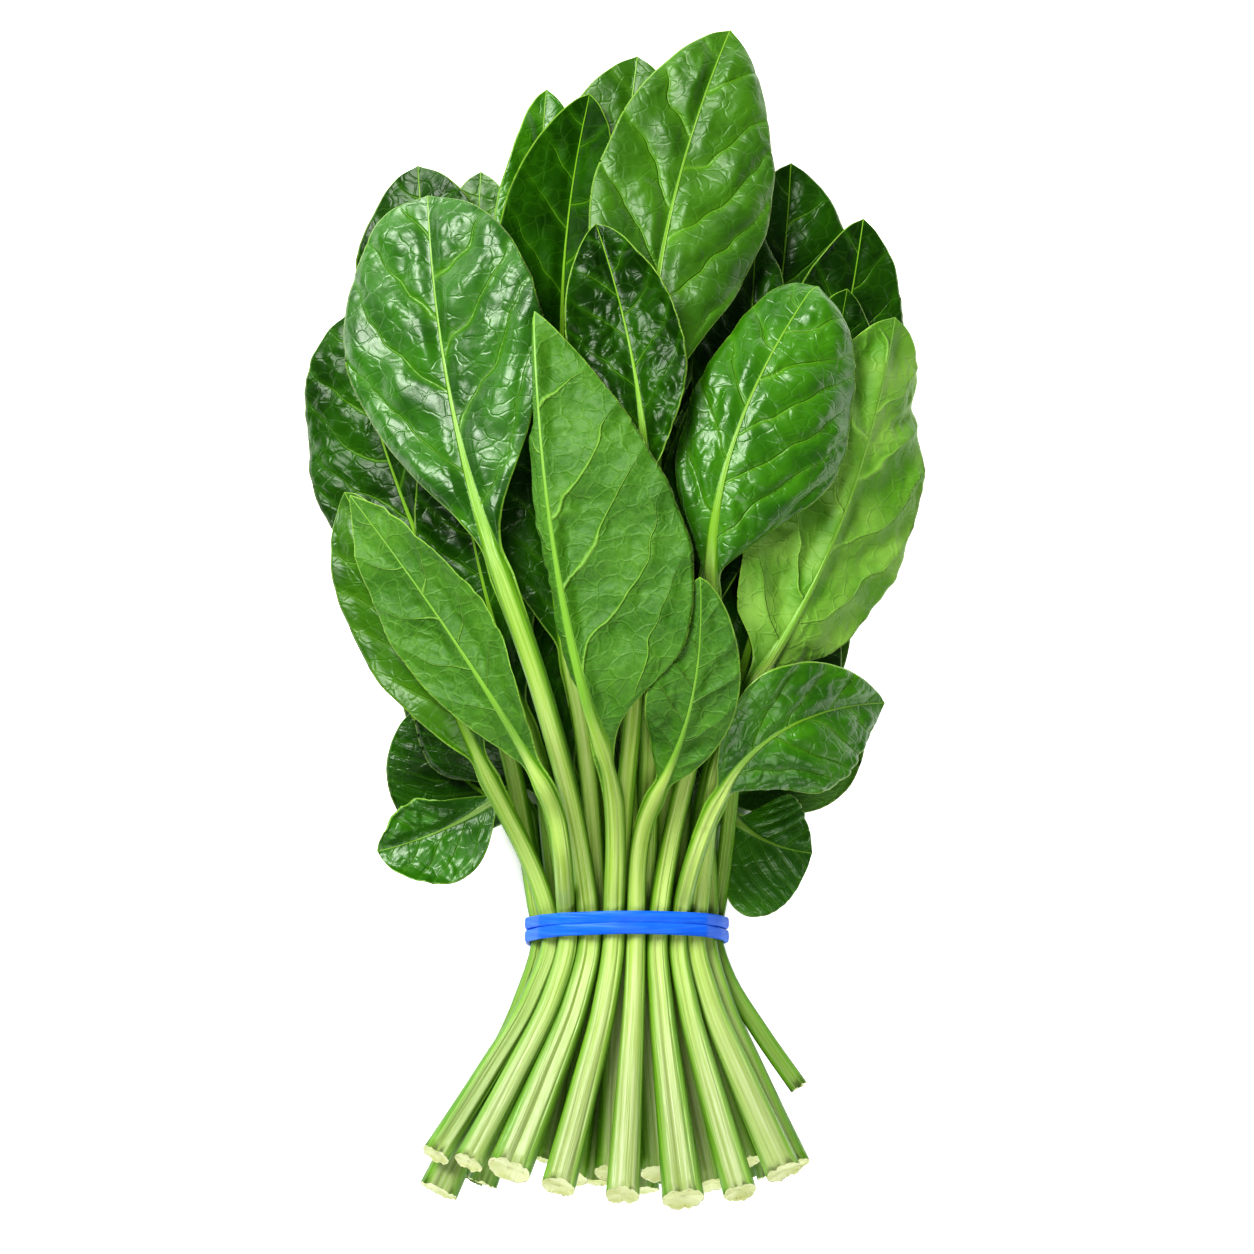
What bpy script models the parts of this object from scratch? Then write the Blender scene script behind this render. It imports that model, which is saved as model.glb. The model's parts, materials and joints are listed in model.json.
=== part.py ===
"""A bunch of spinach tied with a rubber band, lying on a table, modelled leaf by leaf.

Every leaf grew in one piece, so its stalk and its blade are one closed solid. The stalks are packed
against each other inside the band, flare apart towards their cut ends, and spread at the other end
into blades that lie on one another in a mound.

Frame: +Y runs from the cut ends to the leaf tips, +X to the right, +Z up from the table. The numbers
in the leaf list are millimetres from the middle of the band. At the end the bunch is moved so that
the origin is on the table, under the middle of its bounding box.
"""

import math
from dataclasses import dataclass

import bpy
import numpy as np

MM = 0.001

# ---- Driving dimensions, in millimetres ----
BAND_HEIGHT = 22.8  # the band's middle above the table
BUNDLE_HALF_WIDTH = 26.2  # half the width of the stalks inside the band
BUNDLE_HALF_HEIGHT = 18.0
STALK_BELOW_BAND = 69.0  # length of a stalk from the band to its cut end
FLARE = 2.2  # how many times wider the bundle is at the cut ends than at the band
FLARE_BELOW = 0.55  # the share of the flare left on the table side, where the weight lies
SPREAD_ABOVE = 0.0083  # how fast the stalks part above the band, for each millimetre from its middle
WIDENING = 0.95  # a stalk is this much wider at its cut end than at the band
WIDENING_BELOW = 0.5  # the same for the stalks squeezed on the table side
WAIST = 0.2  # roundness of the waist, as a share of the stalk below the band
STALK_GAP = 0.35  # least gap between stalks at the band
LAYER_GAP = 0.8  # least gap between a leaf and what it lies on
BLADE_THICKNESS = 1.0
KEEL = 1.0  # how far the midrib stands out of the underside
MOUND_HEIGHT = 77.0  # the leafy mound at its highest
MOUND_HALF_WIDTH = 96.0
MOUND_MIDDLE = 95.0  # along the bunch, from the band
MOUND_HALF_LENGTH = 165.0

BAND_STRAND_WIDTH = 3.1
BAND_STRAND_THICKNESS = 1.3
BAND_STRAND_PITCH = 3.5  # from one strand's middle to the next one's
BAND_CLEARANCE = 0.85  # between the stalks' outline and the band
BAND_LEAN = 0.2  # how far the band lies up the stalks, for each millimetre that it is above its middle

# ---- Section of a leaf: eight points round it, from its left edge over the top ----
ACROSS_STALK = np.array([-1, -0.707, 0, 0.707, 1, 0.707, 0, -0.707])
ACROSS_BLADE = np.array([-1, -0.5, 0, 0.5, 1, 0.5, 0, -0.5])
HEIGHT_STALK = np.array([0, 0.707, 1, 0.707, 0, -0.707, -1, -0.707])
HEIGHT_BLADE = np.array([0, 1, 1, 1, 0, -1, -1, -1])
RING = len(ACROSS_STALK)
COLUMN_OF = np.array([0, 1, 2, 3, 4, 3, 2, 1])  # top and bottom points share a column

# Stations along a leaf: below the band, above it up to the blade, and along the blade.
BELOW = np.array([1.0, 0.64, 0.27])
NEAR_BAND = np.array([0.0, 7.0, 15.0, 24.0])  # millimetres up the stalk
UP_STALK = np.array([0.5])  # the rest of the way to the blade
BLADE = np.array([0.0, 0.07, 0.16, 0.28, 0.41, 0.55, 0.69, 0.81, 0.91, 0.97])
N_STALK = len(BELOW) + len(NEAR_BAND) + len(UP_STALK)

UPPER, UNDER = 1, -1  # which face of the leaf looks up, away from the table


@dataclass
class Leaf:
    """One leaf. Lengths are millimetres, and points are (x, y) seen from above."""

    name: str
    x_at_band: float  # where its stalk passes the band, before the stalks are packed
    base: tuple  # where the blade begins
    tip: tuple
    half_widths: tuple  # (left, right) of the midrib, looking from base to tip
    edges: tuple = (0.0, 0.0)  # how far the left and right edges stand above the midrib
    bow: float = 0.0  # how far the midrib bows to the right
    curl: float = 0.0  # how far the tip stands above the mound
    face: int = UPPER
    stalk: float = 5.6  # the stalk's diameter at the band
    fullest: float = 0.55  # where along the blade it is widest
    blunt: float = 0.62  # the outline's power near the tip: less is blunter
    end: tuple = None  # (x, length) of the stalk's cut end, where it isn't the usual place
    broad: float = None  # how much wider the stalk is at its cut end, where it isn't WIDENING


# The leaves that show, from the lowest in the mound to the highest.
SHOWN = [
    Leaf("right_reflexed_leaf", 24, (29, 31), (51, 21), (14, 21), (-3, 3), 2, -3, stalk=5.0),
    Leaf("left_reflexed_leaf", -24, (-35, 37), (-68, 22), (15, 12), (2, 5), -2, 5, stalk=5.0),
    Leaf("top_left_pale_leaf", -12, (-33, 122), (-40, 208), (18, 19), (1, 2), -3),
    Leaf("top_right_leaf", 12, (30, 120), (45, 210), (20, 22), (4, -3), 3, 2),
    Leaf("right_shoulder_leaf", 19, (40, 98), (65, 195), (19, 19), (2, -2), 3),
    Leaf("top_left_leaf", -17, (-36, 110), (-57, 209), (23, 24), (-2, 3), -4, 3, blunt=0.5),
    Leaf("tall_left_leaf", -11, (-21, 132), (-22, 230), (13, 18), (4, -2), -2, 3),
    Leaf("tall_back_leaf", 2, (-3, 138), (3, 239), (25, 24), (2, 2), -2, 4),
    Leaf("right_back_leaf", 24, (37, 84), (60, 175), (18, 17), (2, 1), 2, stalk=4.6,
         end=(47, 42), broad=0.2),
    Leaf("inner_right_leaf", 9, (25, 106), (35, 192), (15, 11), (5, -2), 2),
    Leaf("left_dark_leaf", -24, (-43, 80), (-76, 168), (22, 24), (3, 2), -3, 2, blunt=0.5),
    Leaf("tall_middle_leaf", -6, (-14, 126), (-10, 228), (19, 17), (7, 5), -5, 2),
    Leaf("inner_left_leaf", -14, (-15, 42), (-29, 97), (10, 11), (3, 4), 0, stalk=5.0),
    Leaf("inner_low_leaf", 17, (22, 40), (32, 98), (8, 9), (5, 3), 0, stalk=5.0),
    Leaf("inner_outer_left_leaf", -19, (-27, 58), (-47, 140), (16, 15), (3, 3), -2),
    Leaf("inner_outer_right_leaf", 15, (27, 60), (44, 138), (13, 14), (3, 3), 2),
    Leaf("inner_middle_leaf", -7, (-15, 74), (-24, 150), (14, 13), (3, 4), -2),
    Leaf("inner_back_leaf", 7, (15, 76), (26, 152), (15, 13), (3, 4), 2),
    Leaf("tall_right_leaf", 4, (6, 134), (28, 245), (22, 26), (5, -4), -6, 5, UPPER, 6.2, 0.58),
    Leaf("centre_leaf", -1, (5, 118), (-8, 190), (17, 15), (4, 8), 3, 2, UPPER, 5.6),
    Leaf("right_pale_leaf", 20, (34, 69), (72, 166), (22, 20), (3, -2), 6, 3, UNDER, 5.4, 0.43, 0.5,
         end=(42, 62), broad=0.9),
    Leaf("front_right_leaf", 8, (22, 92), (50, 174), (15, 29), (-4, -5), -7, -2, UPPER, 5.8, 0.55, 0.4,
         end=(15, 67), broad=0.95),
    Leaf("low_left_pale_leaf", -23, (-37, 44), (-75, 119), (16, 14), (2, 0), 1, 3, stalk=5.6,
         end=(-51, 58), broad=0.5),
    Leaf("low_right_leaf", 15, (24, 37), (69, 63), (16, 20), (4, -2), -8, -6, UPPER, 5.2, 0.55, 0.7,
         end=(30, 66), broad=0.75),
    Leaf("front_left_leaf", -13, (-33, 98), (-53, 198), (26, 28), (4, 3), -4, 2, UPPER, 6.4, 0.62, 0.4,
         end=(-31, 60), broad=1.0),
    Leaf("low_left_leaf", -18, (-22, 42), (-73, 118), (15, 11), (2, 4), 2, 4, UNDER, 5.4, 0.55, 0.75,
         end=(-42, 59), broad=0.6),
    Leaf("front_low_leaf", 1, (8, 39), (19, 96), (12, 12), (-1, 2), 4, 2, UNDER, 5.2, 0.5,
         end=(-1, 66), broad=0.75),
    Leaf("front_middle_leaf", -8, (-6, 51), (-24, 165), (5, 35), (-7, 2), -4, 2, UNDER, 6, 0.42, 0.75,
         end=(-18, 64), broad=0.55),
]

# The leaves under them follow a rule: they fan out on the table inside an oval outline.
N_HIDDEN = 14
GOLDEN = 0.618034
FAN_HALF_ANGLE = math.radians(47)
OUTLINE_SIDE, OUTLINE_TOP = 71.0, 218.0


def hidden_leaves():
    """The lowest leaves of the mound, fanned by the golden ratio so that no two lie alike."""
    leaves = []
    for k in range(N_HIDDEN):
        turn = 2 * ((k * GOLDEN + 0.31) % 1) - 1
        angle = FAN_HALF_ANGLE * turn
        reach = 1 / math.hypot(math.cos(angle) / OUTLINE_TOP, math.sin(angle) / OUTLINE_SIDE)
        reach *= 0.86 + 0.12 * ((k * 0.37) % 1)
        start = max(42.0, reach - 84.0 - 14.0 * ((k * 0.71) % 1))
        lean = 0.88  # the blade points a little less outwards than its tip does
        row = k / (N_HIDDEN - 1)
        leaves.append(
            Leaf(
                name=f"under_leaf_{k + 1:02d}",
                x_at_band=(12 + 10 * row) * turn,
                base=(start * math.sin(angle * lean), start * math.cos(angle * lean)),
                tip=(reach * math.sin(angle), reach * math.cos(angle)),
                half_widths=(19 + 4 * ((k * 0.53) % 1), 18 + 5 * ((k * 0.29) % 1)),
                edges=(2.0 * math.sin(2.1 * k), 2.0 * math.cos(1.7 * k)),
                bow=5 * math.sin(1.9 * k),
                face=UNDER if k % 3 == 1 else UPPER,
                stalk=5.3 + 0.7 * ((k * 0.43) % 1),
            )
        )
    return leaves


# ---- Where the stalks run ----


def pack_stalks(leaves):
    """(x, z) of each stalk at the band, from its place in the pile, pushed apart until none overlaps."""
    radius = np.array([leaf.stalk for leaf in leaves]) / 2
    x = np.array([leaf.x_at_band for leaf in leaves], float)
    level = np.linspace(-1, 1, len(leaves))
    level = np.sign(level) * np.abs(level) ** 0.7
    top = BUNDLE_HALF_HEIGHT * np.sqrt(1 - np.clip(x / BUNDLE_HALF_WIDTH, -0.95, 0.95) ** 2)
    at = np.stack([x, level * (top - radius)], axis=1)
    reach = radius[:, None] + radius[None, :] + STALK_GAP
    room = np.stack([BUNDLE_HALF_WIDTH - radius, BUNDLE_HALF_HEIGHT - radius], axis=1)
    later = np.sign(np.arange(len(at))[:, None] - np.arange(len(at))[None, :])
    for step in range(2400):
        apart = at[:, None, :] - at[None, :, :]
        if step < 1600:  # of two stalks that cover each other, the later leaf's goes on top
            wrong = (np.abs(apart[..., 0]) < 0.95 * reach) & (apart[..., 1] * later < 0)
            at[:, 1] += 0.08 * (wrong * later).sum(axis=1)
        distance = np.linalg.norm(apart, axis=2) + np.eye(len(at)) * 1e3
        push = np.clip(reach - distance, 0, None) / distance
        at += 0.5 * (apart * push[:, :, None]).sum(axis=1)
        out = np.linalg.norm(at / room, axis=1)
        at /= np.maximum(out, 1)[:, None]
    return at


def flare(share):
    """How many times further apart the stalks are, some share of the way from the band to the cut ends."""
    bend = (np.sqrt(share**2 + WAIST**2) - WAIST) / (math.sqrt(1 + WAIST**2) - WAIST)
    return 1 + (FLARE - 1) * bend


def axis_height(y):
    """Height of the bundle's middle: the stiff flare props up the cut ends, and the leaves lie lower."""
    return BAND_HEIGHT - 0.09 * y


def mound_top(x, y):
    """Height of the top of the leafy mound over (x, y): it falls off to the sides and to the tips."""
    along = np.clip((y - MOUND_MIDDLE) / MOUND_HALF_LENGTH, -1, 1)
    across = np.clip(x / MOUND_HALF_WIDTH, -1, 1)
    return MOUND_HEIGHT * (1 - 0.72 * along**2) * (0.12 + 0.88 * (1 - across**2) ** 0.6)


def smooth(t):
    t = np.clip(t, 0, 1)
    return t * t * (3 - 2 * t)


def bezier(points, t):
    """A Bezier curve through its first and last points, by repeated halfway points."""
    t = np.asarray(t, float)[:, None]
    levels = [np.repeat(np.array([p], float), len(t), axis=0) for p in points]
    while len(levels) > 1:
        levels = [a * (1 - t) + b * t for a, b in zip(levels[:-1], levels[1:])]
    return levels[0]


def cut_end(leaf, x_at_band):
    """(x, length) of the stalk below the band: the usual flare, unless the leaf's own place is given."""
    if leaf.end:
        return leaf.end
    length = STALK_BELOW_BAND - 4.0 + 4.0 * math.sin(5.1 * x_at_band + 12.3 * leaf.stalk)
    return x_at_band * flare(length / STALK_BELOW_BAND), length


def spine_from_above(leaf, x_at_band):
    """Points (x, y) of the leaf's middle line at each station, and its distance from the band."""
    foot, base, tip = np.array([x_at_band, 0.0]), np.array(leaf.base), np.array(leaf.tip)
    along = tip - base
    right = np.array([along[1], -along[0]]) / np.linalg.norm(along)
    knee = base + 0.45 * along + 2 * leaf.bow * right
    heading = (knee - base) / np.linalg.norm(knee - base)
    span = np.linalg.norm(base - foot)
    leave = np.array([SPREAD_ABOVE * x_at_band, 1.0])
    controls = [foot, foot + 0.34 * span * leave, base - 0.34 * span * heading, base]
    fine = np.linspace(0, 1, 60)
    curve = bezier(controls, fine)
    walked = np.append(0, np.cumsum(np.linalg.norm(np.diff(curve, axis=0), axis=1)))
    stops = np.append(NEAR_BAND, NEAR_BAND[-1] + UP_STALK * (walked[-1] - NEAR_BAND[-1]))
    stalk = np.stack([np.interp(stops, walked, curve[:, k]) for k in range(2)], axis=1)
    blade = bezier([base, knee, tip], np.append(BLADE, 1.0))
    x_end, length = cut_end(leaf, x_at_band)
    spread = flare(BELOW * length / STALK_BELOW_BAND) - 1
    low = np.stack([x_at_band + (x_end - x_at_band) * spread / spread[0], -length * BELOW], axis=1)
    beyond = walked[-1] + np.append(0, np.cumsum(np.linalg.norm(np.diff(blade, axis=0), axis=1)))
    return np.concatenate([low, stalk, blade]), np.concatenate([-length * BELOW, stops, beyond])


def blade_profile(leaf):
    """Half width of the blade along its stations, from 0 to 1: drawn out at its base, blunter at its tip."""
    power = math.log(0.5) / math.log(leaf.fullest)
    arch = np.sin(math.pi * BLADE**power)
    return arch ** np.where(BLADE < leaf.fullest, 1.0, leaf.blunt) * smooth(0.3 + BLADE * 4)


def stalk_half_width(leaf, x_at_band, z_at_band):
    """Half the stalk's width at every station: broad at the cut, fine where it becomes the midrib."""
    at_band = leaf.stalk / 2
    flared = (flare(BELOW * cut_end(leaf, x_at_band)[1] / STALK_BELOW_BAND) - 1) / (FLARE - 1)
    broad = leaf.broad or (WIDENING if z_at_band > 0 else WIDENING_BELOW)
    low = at_band * (1 + broad * flared)
    high = at_band * (1 - 0.03 * np.arange(len(NEAR_BAND) + len(UP_STALK)))
    rib = at_band * (0.82 - 0.6 * BLADE)
    return np.concatenate([low, high, rib])


# ---- The solids ----


class Heights:
    """The height of the pile so far, on a grid seen from above, in millimetres."""

    CELL = 0.6
    LOW = np.array([-130.0, -100.0])

    def __init__(self):
        self.top = np.full((434, 634), -LAYER_GAP)

    def cells(self, points):
        index = ((points[..., :2] - self.LOW) / self.CELL).astype(int)
        return index[..., 0], index[..., 1]

    def under(self, points):
        return self.top[self.cells(points)]

    def add(self, points):
        np.maximum.at(self.top, self.cells(points), points[..., 2])


def patches(rings, steps=20):
    """Points spread over every four-sided patch between neighbouring rings, steps by steps on each."""
    a, b = rings[:-1], rings[1:]
    a2, b2 = np.roll(a, -1, axis=1), np.roll(b, -1, axis=1)
    t = np.linspace(0, 1, steps)
    u, v = t[:, None, None], t[None, :, None]
    corner = [q[:, :, None, None, :] for q in (a, b, a2, b2)]
    left = corner[0] * (1 - u) + corner[1] * u
    right = corner[2] * (1 - u) + corner[3] * u
    return left * (1 - v) + right * v


def leaf_rings(leaf, rank, at_band):
    """The rings of a leaf before it is laid on the pile: an array (stations, RING, 3)."""
    middle, distance = spine_from_above(leaf, at_band[0])
    tangent = np.gradient(middle, axis=0)
    tangent /= np.linalg.norm(tangent, axis=1)[:, None]
    right = np.stack([tangent[:, 1], -tangent[:, 0]], axis=1)[:-1]
    centre, distance = middle[:-1], distance[:-1]

    blade = np.concatenate([np.zeros(N_STALK), blade_profile(leaf)])
    becomes_blade = smooth(np.concatenate([np.zeros(N_STALK), BLADE / 0.2]))[:, None]
    stalk = stalk_half_width(leaf, *at_band)[:, None]
    across = ACROSS_STALK * (1 - becomes_blade) + ACROSS_BLADE * becomes_blade
    sides = np.where(ACROSS_BLADE < 0, leaf.half_widths[0], leaf.half_widths[1])
    half_width = np.maximum(stalk, blade[:, None] * sides)
    offset = across * half_width
    xy = centre[:, None, :] + offset[:, :, None] * right[:, None, :]

    # Height of the middle surface: the bundle near the band, this leaf's share of the mound beyond it.
    share = np.clip(-distance / STALK_BELOW_BAND, 0, None)
    beyond = np.clip(distance, 0, 60)
    spread = flare(share) - 1 + SPREAD_ABOVE * beyond
    if at_band[1] < 0:
        spread = FLARE_BELOW * (flare(share) - 1) + 0.15 * SPREAD_ABOVE * beyond
    bundle = axis_height(centre[:, 1]) + at_band[1] * (1 + spread)
    own = rank * mound_top(xy[..., 0], xy[..., 1])
    in_mound = smooth((distance - 5) / 68)[:, None]
    height = bundle[:, None] * (1 - in_mound) + own * in_mound
    edge = np.where(ACROSS_BLADE < 0, leaf.edges[0], leaf.edges[1])
    height = height + edge * np.abs(across) ** 1.6 * blade[:, None]
    reached = np.concatenate([np.zeros(N_STALK), BLADE])
    height = height + (leaf.curl * smooth((reached - 0.55) / 0.45))[:, None]

    # Thickness: a stalk rounder below than above, then a thin blade with its midrib standing out below.
    thin = np.where(HEIGHT_BLADE == 0, 0.0, BLADE_THICKNESS / 2) * np.sign(HEIGHT_BLADE)
    keel_point = RING - 2 if leaf.face == UPPER else 2
    keel = np.zeros(RING)
    keel[keel_point] = KEEL * np.sign(HEIGHT_BLADE[keel_point])
    fine = (1 - 0.75 * reached)[:, None]
    round_side = np.where(HEIGHT_STALK * leaf.face < 0, 0.95, 0.78)
    thick = stalk * HEIGHT_STALK * round_side
    height = height + thick * (1 - becomes_blade) + (thin + keel * fine) * becomes_blade
    return np.concatenate([xy, height[:, :, None]], axis=2), distance


def lay_on_pile(rings, distance, pile):
    """Raises the leaf wherever it would lie in the pile, and eases the rise out to both sides."""
    free = smooth((distance - 6) / 20)
    bends = np.concatenate([np.zeros(N_STALK), smooth(BLADE / 0.15)])[:, None]  # a stalk keeps its section
    for _ in range(5):
        points = patches(rings)
        need = (pile.under(points) + LAYER_GAP - points[..., 2]).max(axis=(2, 3))
        need = np.clip(need, 0, None)
        lift = np.zeros((len(rings), 5))
        for side in (need, np.roll(need, 1, axis=1)):
            for j, column in enumerate(COLUMN_OF):
                lift[:-1, column] = np.maximum(lift[:-1, column], side[:, j])
                lift[1:, column] = np.maximum(lift[1:, column], side[:, j])
        for _ in range(3):
            padded = np.pad(lift, 1, mode="edge")
            eased = (padded[:-2, 1:-1] + padded[2:, 1:-1] + padded[1:-1, :-2] + padded[1:-1, 2:]) / 4
            lift = np.maximum(lift, eased)
        lift = lift * bends + lift.max(axis=1, keepdims=True) * (1 - bends)
        rings[..., 2] += (lift * free[:, None])[:, COLUMN_OF]
    pile.add(patches(rings))
    return rings


def leaf_mesh(rings):
    """Points and triangles of the closed skin over the rings, with a raised middle on the cut end."""
    n = len(rings)
    inward = rings[0].mean(axis=0) - rings[1].mean(axis=0)
    cut_middle = rings[0].mean(axis=0) + 0.6 * inward / np.linalg.norm(inward)
    onward = rings[-1].mean(axis=0) - rings[-2].mean(axis=0)
    tip = rings[-1].mean(axis=0) + 0.6 * onward
    points = np.concatenate([rings.reshape(-1, 3), [cut_middle, tip]])
    i, j = np.meshgrid(np.arange(n - 1), np.arange(RING), indexing="ij")
    a = (i * RING + j).ravel()
    b = (i * RING + (j + 1) % RING).ravel()
    c, d = a + RING, b + RING
    ring = np.arange(RING)
    nxt = (ring + 1) % RING
    foot, last = n * RING, (n - 1) * RING
    faces = np.concatenate(
        [
            np.stack([a, c, d], axis=1),
            np.stack([a, d, b], axis=1),
            np.stack([np.full(RING, foot), ring, nxt], axis=1),
            np.stack([np.full(RING, foot + 1), last + nxt, last + ring], axis=1),
        ]
    )
    return points, faces


def band_outline(at_band, leaves, angles):
    """Where a taut loop round the packed stalks runs, in each outward direction: (n, 2), x and z."""
    radius = np.array([leaf.stalk for leaf in leaves]) / 2 + BAND_CLEARANCE
    outward = np.stack([np.cos(angles), np.sin(angles)], axis=1)
    furthest = (outward @ at_band.T + radius).argmax(axis=1)
    return at_band[furthest] + radius[furthest, None] * outward


def band_mesh(at_band, leaves):
    """One rubber band wound twice round the stalks: its two strands change places once, underneath."""
    per_turn = 64
    turn = np.arange(2 * per_turn) / per_turn  # 0 to 2: two turns
    angle = -math.pi / 2 + 2 * math.pi * turn
    loop = band_outline(at_band, leaves, angle[:per_turn])
    for _ in range(3):
        loop = (np.roll(loop, 1, axis=0) + 2 * loop + np.roll(loop, -1, axis=0)) / 4
    centre = loop.mean(axis=0)
    outward = (loop - centre) / np.linalg.norm(loop - centre, axis=1)[:, None]
    loop = np.concatenate([loop, loop])
    outward = np.concatenate([outward, outward])

    # Near the crossing one strand steps aside while the other climbs over it.
    near = np.minimum(turn % 1, 1 - turn % 1)  # 0 at the crossing, 0.5 opposite it
    swap = np.cos(np.clip(near / 0.09, 0, 1) * math.pi / 2)  # 1 at the crossing
    first = np.where((turn < 0.5) | (turn >= 1.5), 1.0, -1.0)
    side = np.where(turn < 1, 1.0, -1.0) * np.sqrt(1 - swap**2)
    over = swap * first * (BAND_STRAND_THICKNESS + 0.5) / 2
    stand_off = BAND_STRAND_THICKNESS / 2 + 0.2 + (BAND_STRAND_THICKNESS + 0.5) / 2 * smooth(1.8 * swap)
    flat = loop + outward * (stand_off + over)[:, None]
    middle_y = side * BAND_STRAND_PITCH / 2

    corners = np.array([(-1, -1), (1, -1), (1, 1), (-1, 1)]) / 2  # (along y, outwards)
    rings = np.zeros((len(turn), len(corners), 3))
    for k, (wide, high) in enumerate(corners):
        out = flat + outward * high * BAND_STRAND_THICKNESS
        y = middle_y + wide * BAND_STRAND_WIDTH + BAND_LEAN * out[:, 1]
        rings[:, k] = np.stack([out[:, 0], y, BAND_HEIGHT + out[:, 1]], axis=1)
    n, m = rings.shape[:2]
    i, j = np.meshgrid(np.arange(n), np.arange(m), indexing="ij")
    a, b = (i * m + j).ravel(), (i * m + (j + 1) % m).ravel()
    c, d = (((i + 1) % n) * m + j).ravel(), (((i + 1) % n) * m + (j + 1) % m).ravel()
    faces = np.concatenate([np.stack([a, c, d], axis=1), np.stack([a, d, b], axis=1)])
    return rings.reshape(-1, 3), faces


# ---- Blender objects ----


def material(name, colour, roughness):
    made = bpy.data.materials.new(name)
    made.use_nodes = True
    shader = made.node_tree.nodes["Principled BSDF"]
    shader.inputs["Base Color"].default_value = (*colour, 1)
    shader.inputs["Roughness"].default_value = roughness
    return made


def add_object(name, points, faces, finish):
    """A smooth-shaded mesh object, its points given in metres, turned right side out."""
    corner = points[faces]
    if np.linalg.det(corner).sum() < 0:
        faces = faces[:, ::-1]
    mesh = bpy.data.meshes.new(name)
    mesh.from_pydata(points.tolist(), [], faces.tolist())
    mesh.materials.append(finish)
    mesh.shade_smooth()
    made = bpy.data.objects.new(name, mesh)
    bpy.context.scene.collection.objects.link(made)
    return made


def main():
    for old in list(bpy.data.objects):
        bpy.data.objects.remove(old)
    leaves = hidden_leaves() + SHOWN
    at_band = pack_stalks(leaves)
    pile = Heights()
    solids = {}
    for k, leaf in enumerate(leaves):
        rank = k / (len(leaves) - 1)
        rings, distance = leaf_rings(leaf, rank, at_band[k])
        solids[leaf.name] = leaf_mesh(lay_on_pile(rings, distance, pile))
    solids["rubber_band"] = band_mesh(at_band, leaves)

    everything = np.concatenate([points for points, _ in solids.values()])
    low, high = everything.min(axis=0), everything.max(axis=0)
    origin = np.array([(low[0] + high[0]) / 2, (low[1] + high[1]) / 2, low[2]])
    dark = material("spinach_upper_side", (0.05, 0.2, 0.03), 0.35)
    pale = material("spinach_underside", (0.14, 0.34, 0.07), 0.5)
    rubber = material("blue_rubber", (0.01, 0.08, 0.62), 0.4)
    faces_up = {leaf.name: leaf.face for leaf in leaves}
    for name, (points, faces) in solids.items():
        finish = rubber if name == "rubber_band" else dark if faces_up[name] == UPPER else pale
        add_object(name, (points - origin) * MM, faces, finish)


main()
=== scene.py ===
# %% [markdown]
# # A bunch of spinach, tied with a rubber band
#
# The bunch lies on its side on a pale table. It has forty-two leaves and one rubber band. Each leaf grew
# in one piece, so each is one closed surface here too: a ribbed stalk that runs from its cut end through
# the band, turns into the midrib and carries a thin, puckered blade. The solids of the frame say where
# every leaf lies; this script gives each its real section, veins, puckers and finish.

# %% Load the frame
import json
import math
from dataclasses import dataclass
from types import SimpleNamespace

import bpy
import numpy as np
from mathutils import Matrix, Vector


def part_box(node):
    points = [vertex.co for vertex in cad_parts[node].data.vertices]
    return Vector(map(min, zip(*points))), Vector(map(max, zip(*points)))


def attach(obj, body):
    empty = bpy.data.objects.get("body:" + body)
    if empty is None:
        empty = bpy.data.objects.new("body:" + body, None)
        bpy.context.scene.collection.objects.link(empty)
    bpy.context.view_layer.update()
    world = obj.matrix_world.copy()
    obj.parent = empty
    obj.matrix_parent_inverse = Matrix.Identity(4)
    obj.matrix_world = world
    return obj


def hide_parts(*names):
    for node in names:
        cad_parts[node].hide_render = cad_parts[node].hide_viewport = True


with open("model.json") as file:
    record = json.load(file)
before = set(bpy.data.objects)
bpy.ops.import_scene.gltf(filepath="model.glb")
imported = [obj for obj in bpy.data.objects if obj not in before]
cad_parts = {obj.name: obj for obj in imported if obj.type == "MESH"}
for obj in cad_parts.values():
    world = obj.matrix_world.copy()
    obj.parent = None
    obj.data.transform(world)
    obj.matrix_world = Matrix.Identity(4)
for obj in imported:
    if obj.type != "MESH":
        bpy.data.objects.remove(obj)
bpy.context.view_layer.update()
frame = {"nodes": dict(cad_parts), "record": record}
MM = 0.001
slot_of = {row["node"]: row["material_slot"] for row in frame["record"]["subparts"]}
leaf_nodes = [name for name in frame["nodes"] if name != "rubber_band"]

# %% [markdown]
# ## Reading a leaf out of the frame
#
# A solid of the frame is a skin of triangles over 18 rings of eight points, from the cut end of the stalk
# to the tip. The rings could be typed in again, but reading them back keeps this script right whenever
# the solids change. After welding, only the two poles have eight neighbours. Counting steps from the
# foot's pole sorts the points into rings, and the way the triangles are cut lines the rings up.

# %% Welding, and finding the rings
RING = 8
STALK_RINGS = 8  # the rings from the cut end up to the blade
BAND_RING = 3  # the ring inside the rubber band


def welded(node):
    """The node's points in millimetres, and its triangles, with coinciding corners joined into one."""
    mesh = frame["nodes"][node].data
    points = np.empty(len(mesh.vertices) * 3, np.float32)
    mesh.vertices.foreach_get("co", points)
    corners = np.empty(len(mesh.loops), np.int32)
    mesh.loops.foreach_get("vertex_index", corners)
    micrometres = np.round(points.reshape(-1, 3) / MM * 1000).astype(int)
    points, index = np.unique(micrometres, axis=0, return_inverse=True)
    return points / 1000, index.reshape(-1)[corners].reshape(-1, 3)


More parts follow.
